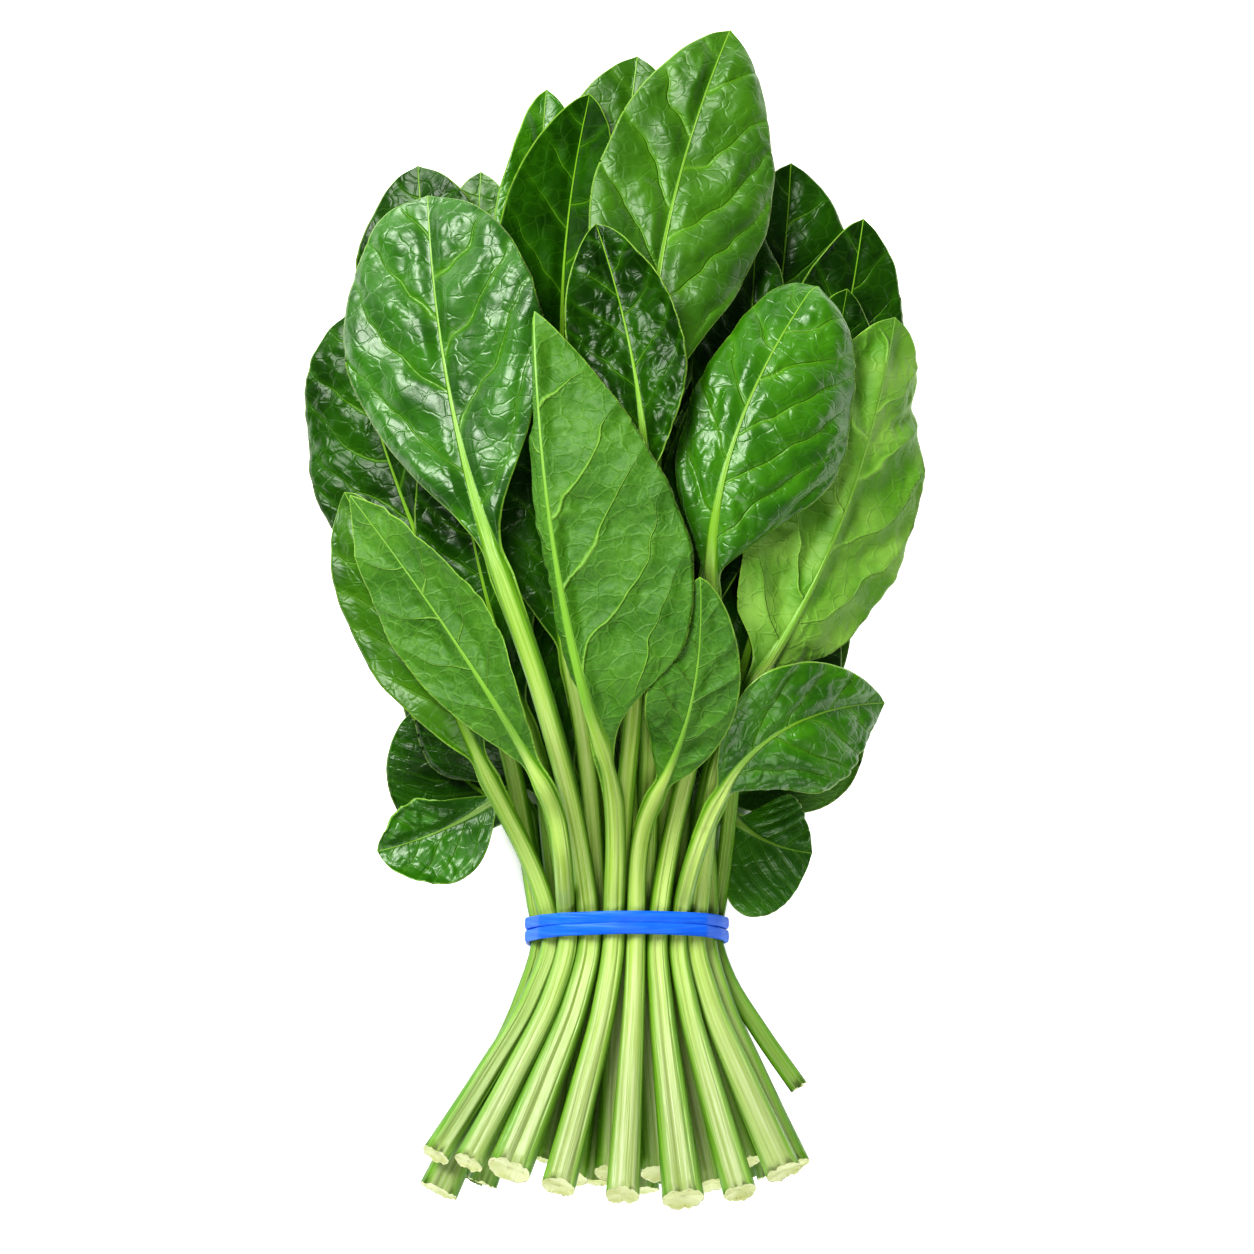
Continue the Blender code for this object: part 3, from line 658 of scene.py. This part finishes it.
def numbers_on(tree):
    """The sockets of the numbers that a leaf's mesh carries at each point, by name."""
    place, form, part, own = [
        add(tree, "Attribute", (), attribute_name=name).outputs["Vector"] for name in FACT_NAMES
    ]
    leaf = SimpleNamespace()
    leaf.x, _, leaf.is_upper = add(tree, "SeparateXYZ", (place,)).outputs
    leaf.phase, leaf.to_edge, leaf.rib = add(tree, "SeparateXYZ", (form,)).outputs
    leaf.stalk, leaf.from_cut, leaf.cap = add(tree, "SeparateXYZ", (part,)).outputs
    leaf.chance, _, leaf.in_front = add(tree, "SeparateXYZ", (own,)).outputs
    leaf.spot = add(tree, "VectorMath", (own, CHANCE_MOVES, place), operation="MULTIPLY_ADD")
    return leaf


def per(x_mm, y_mm):
    """The scale of a pattern with cells of x_mm by y_mm."""
    return (1 / x_mm, 1 / y_mm, SIDES_APART)


def texture_on(tree, leaf, kind, cell, feeds, **settings):
    """A texture on the leaf, with hills or cells of the given size in millimetres, across and along."""
    where = add(tree, "VectorMath", (leaf.spot, per(*cell)), operation="MULTIPLY")
    return add(tree, kind, {"Vector": where, "Scale": 1.0, **feeds}, **settings)


def laid_over(tree, colour, *layers):
    """Lays thin colours over a colour. A layer is (where it lies, from 0 to 1; how strongly; its colour)."""
    for where, strength, layer in layers:
        share = add(tree, "Math", (where, strength), operation="MULTIPLY")
        colour = add(tree, "Mix", {FACTOR: share, LOW: colour, HIGH: layer}, **COLOURS)
    return colour


print("a pattern of 5 mm cells is scaled by", per(5, 5)[0], "a millimetre")

# %% [markdown]
# ## Veins
#
# The side veins are pale lines that follow the same phase as the pleats, wandering a little. A net of finer
# veins closes cells of about 5 mm, and a still finer one cells of about 1.6 mm, drawn a little coarser than
# in life so that it shows.

# %% Veins
def add_veins(tree, leaf):
    """Gives the leaf its side veins, its net and its fine net, each 1 on a vein."""
    leaf.wander = texture_on(tree, leaf, "TexNoise", (7, 7), {"Detail": 2.0})
    off = add(tree, "Math", (leaf.wander, 0.08, -0.04), operation="MULTIPLY_ADD")
    phase = add(tree, "Math", (leaf.phase, off), operation="ADD")
    leaf.to_vein = add(tree, "Math", (phase, 0.5), operation="PINGPONG")
    inwards = add(tree, "MapRange", (leaf.to_edge, 0.0, 26.0), **SMOOTH)
    vein_width = add(tree, "Math", (inwards, 0.045, 0.018), operation="MULTIPLY_ADD")
    line = add(tree, "MapRange", (leaf.to_vein, vein_width, 0.0), **SMOOTH)
    off_edge = add(tree, "MapRange", (leaf.to_edge, 1.0, 7.0), **SMOOTH)
    leaf.side_vein = add(tree, "Math", (line, off_edge), operation="MULTIPLY")

    cells = add(tree, "VectorMath", (leaf.spot, per(5.2, 4.2)), operation="MULTIPLY")
    cells = add(tree, "VectorMath", (cells, leaf.wander.outputs["Color"]), operation="ADD")
    net = add(tree, "TexVoronoi", {"Vector": cells, "Scale": 1.0}, feature="DISTANCE_TO_EDGE")
    leaf.net = add(tree, "MapRange", (net, 0.10, 0.0), **SMOOTH)
    fine = texture_on(tree, leaf, "TexVoronoi", (1.7, 1.5), {}, feature="DISTANCE_TO_EDGE")
    leaf.fine = add(tree, "MapRange", (fine, 0.16, 0.0), **SMOOTH)


# %% [markdown]
# ## The blade
#
# The upper side is dark, in clouds of two greens, and lighter beside a vein. The underside is paler,
# because air between its cells scatters the light. The very rim is thin and pale.

# %% The blade's colour
def blade_colour(tree, leaf, upper, under):
    """The colour of the blade. upper is (deep, bright, beside a vein) and under (deep, bright)."""
    cloud = texture_on(tree, leaf, "TexNoise", (16, 16), {"Detail": 4.0})
    cloud = add(tree, "MapRange", (cloud, 0.32, 0.68), **SMOOTH)
    above = add(tree, "Mix", {FACTOR: cloud, LOW: upper[0], HIGH: upper[1]}, **COLOURS)
    beside_vein = add(tree, "MapRange", (leaf.to_vein, 0.2, 0.0), **SMOOTH)
    above = laid_over(tree, above, (beside_vein, 0.45, upper[2]), (leaf.net, 0.07, "#4f8a14"),
                      (leaf.side_vein, 0.42, "#699e24"))
    below = add(tree, "Mix", {FACTOR: cloud, LOW: under[0], HIGH: under[1]}, **COLOURS)
    below = laid_over(tree, below, (leaf.fine, 0.10, "#78a93a"), (leaf.net, 0.10, "#82b448"),
                      (leaf.side_vein, 0.55, "#8cbf4a"))
    blade = add(tree, "Mix", {FACTOR: leaf.is_upper, LOW: below, HIGH: above}, **COLOURS)
    rim = add(tree, "MapRange", (leaf.to_edge, 0.55, 0.2), **SMOOTH)
    return laid_over(tree, blade, (rim, 0.6, "#93bf45"))


# %% [markdown]
# ## The stalk and the midrib
#
# The stalk is pale yellow-green with strands that run lengthwise, and almost white where it was shaded near
# the soil. Its middle is painted paler than its sides, a painted highlight along each stalk. The stalks on
# top of the bunch are painted palest, as painted light, and those lower in the pile are painted darker
# green, as painted shade between the stalks. The midrib keeps its green towards the tip.

# %% The stalk's colour
STRANDS = (("#468002", "#78aa1c"), ("#98bc3a", "#bed280"), ("#88a046", "#aeb98a"))  # green, white, cream


def stalk_colour(tree, leaf):
    """The colour of the stalk and the midrib. It gives the leaf its strands too."""
    strand = texture_on(tree, leaf, "TexNoise", (0.8, 45), {"Detail": 3.0, "Roughness": 0.6})
    leaf.strand = add(tree, "MapRange", (strand, 0.2, 0.8), **SMOOTH)
    green, white, cream = [
        add(tree, "Mix", {FACTOR: leaf.strand, LOW: dark, HIGH: light}, **COLOURS) for dark, light in STRANDS
    ]
    near_cut = add(tree, "MapRange", (leaf.from_cut, 95.0, 10.0), **SMOOTH)
    white = add(tree, "Mix", {FACTOR: near_cut, LOW: white, HIGH: cream}, **COLOURS)

    # The middle of each stalk, across its width, is painted paler than its sides: a painted highlight along
    # the stalk.
    broad = texture_on(tree, leaf, "TexNoise", (2.6, 70), {"Detail": 2.0})
    middle = add(tree, "MapRange", (leaf.rib, 1.0, 0.25), **SMOOTH)
    middle = add(tree, "Math", (broad, 0.8, middle), operation="MULTIPLY_ADD")
    middle = add(tree, "Math", (middle, 0.35), operation="SUBTRACT", use_clamp=True)
    low_down = add(tree, "MapRange", (leaf.from_cut, 230.0, 90.0), **SMOOTH)
    pale = add(tree, "Math", (middle, low_down), operation="MULTIPLY")
    # How pale a stalk is: a chance tone, and painted light that makes the stalks on top of the bunch paler.
    tone_and_top_light = add(tree, "Math", (leaf.chance, 0.4, 0.3), operation="MULTIPLY_ADD")
    tone_and_top_light = add(tree, "Math", (leaf.in_front, 0.5, tone_and_top_light), operation="MULTIPLY_ADD")
    pale = add(tree, "Math", (pale, tone_and_top_light), operation="MULTIPLY")
    stem = add(tree, "Mix", {FACTOR: pale, LOW: green, HIGH: white}, **COLOURS)
    # Painted shade: stalks lower in the pile are darkened towards deep green, as if shaded by those above.
    painted_shade_behind = add(tree, "Math", (leaf.in_front, -0.75, 0.75), operation="MULTIPLY_ADD")
    stem = add(tree, "Mix", {FACTOR: painted_shade_behind, LOW: stem, HIGH: "#357000"}, **COLOURS)
    midrib = add(tree, "Mix", {FACTOR: leaf.is_upper, LOW: "#74a534", HIGH: "#72a222"}, **COLOURS)
    on_blade = add(tree, "MapRange", (leaf.stalk, 0.9, 0.1), **SMOOTH)
    return add(tree, "Mix", {FACTOR: on_blade, LOW: stem, HIGH: midrib}, **COLOURS)


# %% [markdown]
# ## The cut face
#
# The knife shows pale pith inside a greener skin, with the strands as a ring of darker dots. A point of the
# face carries its share of the way out from the middle; everywhere else on the leaf that number is 1.

# %% The cut face's colour
def cut_colour(tree, leaf):
    """The colour of the cut face."""
    mottled = add(tree, "MapRange", (leaf.wander, 0.35, 0.7), **SMOOTH)
    pith = add(tree, "Mix", {FACTOR: mottled, LOW: "#c6d082", HIGH: "#e0e8ae"}, **COLOURS)
    skin = add(tree, "MapRange", (leaf.cap, 0.86, 0.95), **SMOOTH)
    dots = texture_on(tree, leaf, "TexVoronoi", (1.9, 1.9), {})
    dots = add(tree, "MapRange", (dots, 0.24, 0.1), **SMOOTH)
    outside = add(tree, "MapRange", (leaf.cap, 0.55, 0.72), **SMOOTH)
    inside = add(tree, "MapRange", (leaf.cap, 0.93, 0.8), **SMOOTH)
    ring = add(tree, "Math", (outside, inside), operation="MULTIPLY")
    dots = add(tree, "Math", (dots, ring), operation="MULTIPLY")
    return laid_over(tree, pith, (skin, 0.8, "#e4e6b0"), (dots, 0.6, "#a08a3c"))


# %% [markdown]
# ## Relief too fine for the mesh
#
# Furrows along the veins above are ridges below. Small ridges run the way the side veins do. The bump is
# worked out in millimetres, so its distance is one millimetre.

# %% Fine relief
def fine_relief(tree, leaf, on_rib, grain):
    """A bump of veins, ridges and grain on the blade, and of strands on the stalk."""
    side = add(tree, "Math", (leaf.x,), operation="ABSOLUTE")
    vein_frame = add(tree, "CombineXYZ", (
        add(tree, "Math", (leaf.phase, 4.5), operation="MULTIPLY"),
        add(tree, "Math", (side, 0.11), operation="MULTIPLY"),
        add(tree, "Math", (leaf.chance, 40.0), operation="MULTIPLY"),
    ))
    ridges = add(tree, "TexNoise", {"Vector": vein_frame, "Scale": 1.0, "Detail": 2.0})
    relief = add(tree, "Math", (leaf.side_vein, 0.42), operation="MULTIPLY")
    for pattern, height in ((leaf.net, 0.12), (ridges, 0.34), (leaf.fine, 0.015)):
        relief = add(tree, "Math", (pattern, height, relief), operation="MULTIPLY_ADD")
    furrow = add(tree, "Math", (leaf.is_upper, -1.7, 1.0), operation="MULTIPLY_ADD")
    relief = add(tree, "Math", (relief, furrow), operation="MULTIPLY")
    relief = add(tree, "Math", (grain, 0.06, relief), operation="MULTIPLY_ADD")
    strands = add(tree, "Math", (leaf.strand, 0.18), operation="MULTIPLY")
    relief = add(tree, "Mix", {0: on_rib, 2: relief, 3: strands})
    return add(tree, "Bump", {"Height": relief, "Distance": MM, "Strength": 1.0})


# %% [markdown]
# ## All of a leaf's finish
#
# The upper side shines with wax. Its gloss is tinted slightly green, because part of the light in it comes
# back from just under the wax. The underside is duller, and the stalk is satin.

# %% Leaf tissue
STALK_ROUGHNESS, DULLER_BELOW = 0.40, 0.17  # the stalk's roughness, and how much rougher the underside is
GREENISH = (0.93, 1.0, 0.88, 1.0)  # the tint of the gloss, as linear light


def leaf_material(name, upper, under, roughness, wax):
    """Living leaf tissue. upper is (deep, bright, beside a vein) and under (deep, bright), as hex colours."""
    made = bpy.data.materials.new(name)
    made.use_nodes = True
    tree = made.node_tree
    leaf = numbers_on(tree)
    add_veins(tree, leaf)
    on_rib = add(tree, "MapRange", (leaf.rib, 1.25, 0.8), **SMOOTH)
    on_cut = add(tree, "MapRange", (leaf.cap, 0.995, 0.975), **SMOOTH)
    colour = blade_colour(tree, leaf, upper, under)
    colour = add(tree, "Mix", {FACTOR: on_rib, LOW: colour, HIGH: stalk_colour(tree, leaf)}, **COLOURS)
    colour = add(tree, "Mix", {FACTOR: on_cut, LOW: colour, HIGH: cut_colour(tree, leaf)}, **COLOURS)

    grain = texture_on(tree, leaf, "TexNoise", (2.2, 2.2), {"Detail": 3.0})
    dull = add(tree, "Mix", {0: leaf.is_upper, 2: roughness + DULLER_BELOW, 3: roughness})
    dull = add(tree, "Mix", {0: on_rib, 2: dull, 3: STALK_ROUGHNESS})
    uneven = add(tree, "Math", (grain, 0.16, -0.08), operation="MULTIPLY_ADD")
    dull = add(tree, "Math", (dull, uneven), operation="ADD")

    shader = tree.nodes["Principled BSDF"]
    tree.links.new(colour.outputs[2], shader.inputs["Base Color"])
    tree.links.new(dull.outputs[0], shader.inputs["Roughness"])
    tree.links.new(fine_relief(tree, leaf, on_rib, grain).outputs[0], shader.inputs["Normal"])
    shader.inputs["Specular IOR Level"].default_value = wax
    shader.inputs["Specular Tint"].default_value = GREENISH
    return made


DARK = ("#0e2e00", "#1f4c00", "#2d6002")
MID = ("#2c5a00", "#3f7206", "#508612")
BELOW = ("#306400", "#487c0e")
FINISHES = {  # the name, the upper side, the underside, the roughness and the wax
    "dark": ("dark blistered spinach leaf", DARK, BELOW, 0.32, 0.25),
    "shaded": ("dark matt spinach leaf", DARK, BELOW, 0.50, 0.05),
    "deep": ("deep green spinach leaf", ("#123400", "#215000", "#336808"), BELOW, 0.30, 0.35),
    "glossy": ("glossy dark spinach leaf", ("#194a00", "#2f6a04", "#427c0e"), BELOW, 0.37, 0.65),
    "mid": ("satin spinach leaf", MID, BELOW, 0.42, 0.5),
    "fresh": ("fresh green spinach leaf", ("#255c00", "#3a7604", "#4e8a12"), BELOW, 0.34, 0.55),
    "bright": ("bright young spinach leaf", ("#265200", "#386802", "#4c7c10"), BELOW, 0.38, 0.4),
    "underside": ("dull underside of spinach", MID, ("#2e6202", "#40740e"), 0.40, 0.42),
    "pale_underside": ("yellow-green underside of spinach", MID, ("#4c8410", "#7aa640"), 0.38, 0.4),
}
finishes = {key: leaf_material(*finish) for key, finish in FINISHES.items()}
print(len(finishes), "leaf finishes of", len(finishes["dark"].node_tree.nodes), "nodes each")

# %% [markdown]
# ## Building the leaves
#
# The lowest leaf comes first, so that each one can settle on those below it. The stalks on top of the
# bunch are cut at more of a slant, so their cut faces show from above. Each leaf carries two chance numbers
# of its own, so that no two share a pattern, and a third that tells how far on top its stalk lies, which
# sets the painted light and painted shade on its stalk.

# %% Build them
STALK_LOW, STALK_HIGH = 10, 30  # the heights of the lowest and the highest stalks at the band, about
SLANT, MORE_SLANT = 0.12, 0.38  # the slant of every cut, and how much more a high stalk's has
SLANT_FROM, SLANT_TO = 20, 32  # the heights between which that comes in
stalk_height = {node: leaf_rings[node][0][BAND_RING, :, 2].mean() for node in leaf_nodes}
total = 0
for number, node in enumerate(order):
    look = LOOKS[node]
    seed = 11 + 17 * number
    ring, tip, facts = leaf_grid(node, look, seed)
    slant = SLANT + MORE_SLANT * ease((stalk_height[node] - SLANT_FROM) / (SLANT_TO - SLANT_FROM))
    on_top = min(max((stalk_height[node] - STALK_LOW) / (STALK_HIGH - STALK_LOW), 0), 1)
    own = [*np.random.default_rng(seed).random(2), on_top]
    facts["own"] = np.broadcast_to(own, ring.shape)
    ring, facts, foot = with_cut_end(ring, facts, seed, slant)
    before = ring[-1, :, 2].mean()
    ring = settle(ring, facts["part"][:, 0, 0])
    tip = tip + np.array([0, 0, ring[-1, :, 2].mean() - before])
    piece = grid_mesh("fresh_" + node, ring, (foot, tip), facts)
    piece.data.materials.append(finishes[look.finish])
    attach(piece, "root")
    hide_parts(node)
    total += 2 * ring.shape[0] * ring.shape[1]
print("built", len(order), "leaves with", total, "triangles")

# %% [markdown]
# ## The rubber band
#
# A produce band is a strip of natural rubber, wound twice round the stalks. Stretched taut, it follows the
# outermost stalks like a belt: in each outward direction it runs past the stalk that reaches furthest.

# %% The belt round the stalks
PER_TURN = 360  # points in one turn
CLEARANCE = 0.45  # how far the belt stays off a stalk, in millimetres
LOOSENING = 40  # rounds of smoothing, which carry the belt softly from stalk to stalk


def belt():
    """(path, outward): points (across, up) of one turn round the stalks, in millimetres, and its normals."""
    sections = np.array([leaf_rings[node][0][BAND_RING] for node in leaf_nodes])
    centres = sections.mean(axis=1)[:, [0, 2]]
    radii = np.linalg.norm(sections[:, 4] - sections[:, 0], axis=1) / 2 + CLEARANCE
    angle = np.linspace(0, 2 * math.pi, PER_TURN, endpoint=False) - math.pi / 2
    outward = np.stack([np.cos(angle), np.sin(angle)], axis=1)
    furthest = (outward @ centres.T + radii).argmax(axis=1)
    path = centres[furthest] + radii[furthest, None] * outward
    for _ in range(LOOSENING):
        path = (np.roll(path, 1, axis=0) + 2 * path + np.roll(path, -1, axis=0)) / 4
    around = np.gradient(np.tile(path, (3, 1)), axis=0)[PER_TURN:-PER_TURN]
    outward = np.stack([around[:, 1], -around[:, 0]], axis=1)
    return path, outward / np.linalg.norm(outward, axis=1)[:, None]


path, outward = belt()
print("the belt is", *np.ptp(path, axis=0).round(1), "mm across and up")

# %% [markdown]
# ## The band's two turns
#
# The two turns lie side by side on the belt. They change places underneath, where one passes over the
# other. The section is a rounded rectangle with a slight crown, and the whole band leans a little towards
# the leaf tips on top.

# %% The band's surface
STRAND_WIDTH, STRAND_THICKNESS, STRAND_PITCH = 3.2, 1.3, 3.65
LEAN = 0.2  # how far the band shifts towards the tips for each millimetre up
SWAP = 0.09  # the share of a turn in which the turns change places, on each side of the crossing
CROSSING_GAP = 0.3  # the play between the two where they cross, in millimetres
WANDER = 0.35  # how far the turns wander along the bunch, in millimetres
CROWN, SQUARE = 0.18, 0.45  # the crown's height in millimetres, and how round the section's corners are
AROUND = 24  # points round the section


def band_grid(path, outward):
    """Points (along, round the section, 3) of one band wound twice, in millimetres."""
    belt_middle = path.mean(axis=0)
    path, outward = np.tile(path, (2, 1)), np.tile(outward, (2, 1))
    turn = np.arange(2 * PER_TURN) / PER_TURN
    near = np.minimum(turn % 1, 1 - turn % 1)
    swap = np.cos(np.clip(near / SWAP, 0, 1) * math.pi / 2)
    first = np.where((turn < 0.5) | (turn >= 1.5), 1.0, -1.0)
    side = np.where(turn < 1, 1.0, -1.0) * np.sqrt(1 - swap**2)
    stand = STRAND_THICKNESS / 2 + (STRAND_THICKNESS + CROSSING_GAP) / 2 * (ease(1.8 * swap) + swap * first)
    path = path + outward * stand[:, None]
    length = np.linalg.norm(path - np.roll(path, 1, axis=0), axis=1).sum()
    print("the band is stretched to", round(length), "mm in its two turns")

    along_y = BAND_Y + side * STRAND_PITCH / 2 + WANDER * np.sin(2 * math.pi * turn + 1.0 * side)
    t = np.linspace(0, 2 * math.pi, AROUND, endpoint=False)
    wide = np.sign(np.cos(t)) * np.abs(np.cos(t)) ** SQUARE * STRAND_WIDTH / 2
    high = np.sign(np.sin(t)) * np.abs(np.sin(t)) ** SQUARE * STRAND_THICKNESS / 2
    crown = CROWN * (1 - (wide / STRAND_WIDTH * 2) ** 2) * (high > 0)
    out = (high + crown)[None, :]
    x = path[:, :1] + outward[:, :1] * out
    z = path[:, 1:] + outward[:, 1:] * out
    y = along_y[:, None] + wide[None, :] + LEAN * (z - belt_middle[1])
    return np.stack([x, y, z], axis=2)


def ring_mesh(name, grid):
    """A smooth mesh over a grid that closes both ways."""
    n, m = grid.shape[:2]
    i, j = np.meshgrid(np.arange(n), np.arange(m), indexing="ij")
    a, b = i * m + j, i * m + (j + 1) % m
    c, d = ((i + 1) % n) * m + j, ((i + 1) % n) * m + (j + 1) % m
    quads = np.stack([a, c, d, b], axis=-1).reshape(-1, 4)
    points = grid.reshape(-1, 3)
    if sum(np.linalg.det(points[quads[:, half]]).sum() for half in ([0, 1, 2], [0, 2, 3])) < 0:
        quads = quads[:, ::-1]
    mesh = bpy.data.meshes.new(name)
    mesh.from_pydata((points * MM).tolist(), [], quads.tolist())
    mesh.shade_smooth()
    return placed(name, mesh)


band = ring_mesh("blue_produce_band", band_grid(path, outward))
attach(band, "root")
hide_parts("rubber_band")

# %% [markdown]
# ## Natural rubber
#
# Coloured natural rubber is extruded, vulcanised and cut to a strip. Paler streaks run along it in its
# colour, and it has a satin skin with fine lengthwise lines.

# %% Natural rubber
rubber = bpy.data.materials.new("blue natural rubber")
rubber.use_nodes = True
tree = rubber.node_tree
shader = tree.nodes["Principled BSDF"]
place = add(tree, "TexCoord", ()).outputs["Object"]
patches = add(tree, "TexNoise", {"Vector": place, "Scale": 180.0, "Detail": 3.0})
blue = add(tree, "Mix", {FACTOR: patches, LOW: "#0856d4", HIGH: "#166eea"}, **COLOURS)
drawn_out = add(tree, "VectorMath", (place, (60.0, 900.0, 60.0)), operation="MULTIPLY")
streak = add(tree, "TexNoise", {"Vector": drawn_out, "Scale": 1.0, "Detail": 3.0})
# Paler streaks along the band, drawn into its colour.
stretched = add(tree, "MapRange", (streak, 0.45, 0.75, 0.0, 0.5))
blue = add(tree, "Mix", {FACTOR: stretched, LOW: blue, HIGH: "#4a92f6"}, **COLOURS)
bump = add(tree, "Bump", {"Height": streak, "Distance": 0.0004, "Strength": 1.0})
tree.links.new(blue.outputs[2], shader.inputs["Base Color"])
tree.links.new(bump.outputs[0], shader.inputs["Normal"])
shader.inputs["Roughness"].default_value = 0.46
shader.inputs["Specular IOR Level"].default_value = 0.25
band.data.materials.append(rubber)
print("the band's finish is", rubber.name)

# %% [markdown]
# ## The table
#
# The bunch lies on a table of white acrylic that is lit from below, so the ground stays white and shows no
# shadow. Right under the bunch it is left unlit, or it would shine through between the stalks. The unlit
# patch is narrow at the band and widens towards the leaves.

# %% The table
TABLE_HALF = 3.0  # half its width in metres
band_x = (band_low.x + band_high.x) / 2
corners = [(-TABLE_HALF, -TABLE_HALF, 0), (TABLE_HALF, -TABLE_HALF, 0), (TABLE_HALF, TABLE_HALF, 0),
           (-TABLE_HALF, TABLE_HALF, 0)]
floor_mesh = bpy.data.meshes.new("table")
floor_mesh.from_pydata(corners, [], [(0, 1, 2, 3)])
floor = placed("table", floor_mesh)

acrylic = bpy.data.materials.new("backlit white acrylic")
acrylic.use_nodes = True
tree = acrylic.node_tree
shader = tree.nodes["Principled BSDF"]
x, y, _ = add(tree, "SeparateXYZ", (add(tree, "TexCoord", ()).outputs["Object"],)).outputs
beside = add(tree, "Math", (x, band_x), operation="SUBTRACT")
beside = add(tree, "Math", (beside,), operation="ABSOLUTE")
spread = add(tree, "MapRange", (y, BAND_Y * MM, BAND_Y * MM + 0.08, 0.0, 0.027))
beside = add(tree, "Math", (beside, spread), operation="SUBTRACT")
beside = add(tree, "MapRange", (beside, 0.022, 0.029))
before = add(tree, "MapRange", (y, BAND_Y * MM - 0.035, BAND_Y * MM - 0.055))
after = add(tree, "MapRange", (y, BAND_Y * MM + 0.11, BAND_Y * MM + 0.15))
lit = add(tree, "Math", (before, after), operation="MAXIMUM")
lit = add(tree, "Math", (beside, lit), operation="MAXIMUM")
lit = add(tree, "Math", (lit, 0.8), operation="MULTIPLY")
tree.links.new(lit.outputs[0], shader.inputs["Emission Strength"])
shader.inputs["Emission Color"].default_value = (1, 1, 1, 1)
shader.inputs["Base Color"].default_value = linear("#f4f4f2")
shader.inputs["Roughness"].default_value = 0.8
floor_mesh.materials.append(acrylic)
print("the table is", 2 * TABLE_HALF, "m wide")

# %% [markdown]
# ## Light and camera
#
# One broad soft light stands beyond the leaf tips on the left. A weaker one on the side of the cut ends
# reaches in under the blades, and a pale sky keeps the shadows open. The camera looks straight down on the
# bunch from far enough away that nothing is foreshortened much.

# %% Light and camera
def box_light(name, place, target, size, power):
    """A soft square light of the given size in metres, turned towards a point."""
    lamp = bpy.data.lights.new(name, "AREA")
    lamp.size = size
    lamp.energy = power
    made = placed(name, lamp)
    made.location = place
    made.rotation_euler = (Vector(target) - Vector(place)).to_track_quat("-Z", "Y").to_euler()


aim = (band_x, BAND_Y * MM + 0.083, 0.035)  # the middle of the picture
box_light("window light", (-0.42, 0.6, 0.8), aim, size=0.55, power=17.0)
box_light("fill light", (0.1, -0.55, 0.75), aim, size=0.6, power=4.2)
world = bpy.data.worlds.new("pale room")
world.use_nodes = True
world.node_tree.nodes["Background"].inputs["Color"].default_value = (1, 1, 1, 1)
world.node_tree.nodes["Background"].inputs["Strength"].default_value = 0.12
bpy.context.scene.world = world
bpy.context.scene.view_settings.view_transform = "Standard"
bpy.context.scene.view_settings.look = "Medium High Contrast"

LENS, FIELD = 100.0, 0.3386  # the lens in millimetres, and the width of what it sees at the bunch, in metres
lens = bpy.data.cameras.new("camera")
lens.lens = LENS
camera = placed("camera", lens)
camera.location = (aim[0], aim[1], aim[2] + FIELD * LENS / lens.sensor_width)
bpy.context.scene.camera = camera
print("the camera looks down from", round(camera.location.z, 2), "m")
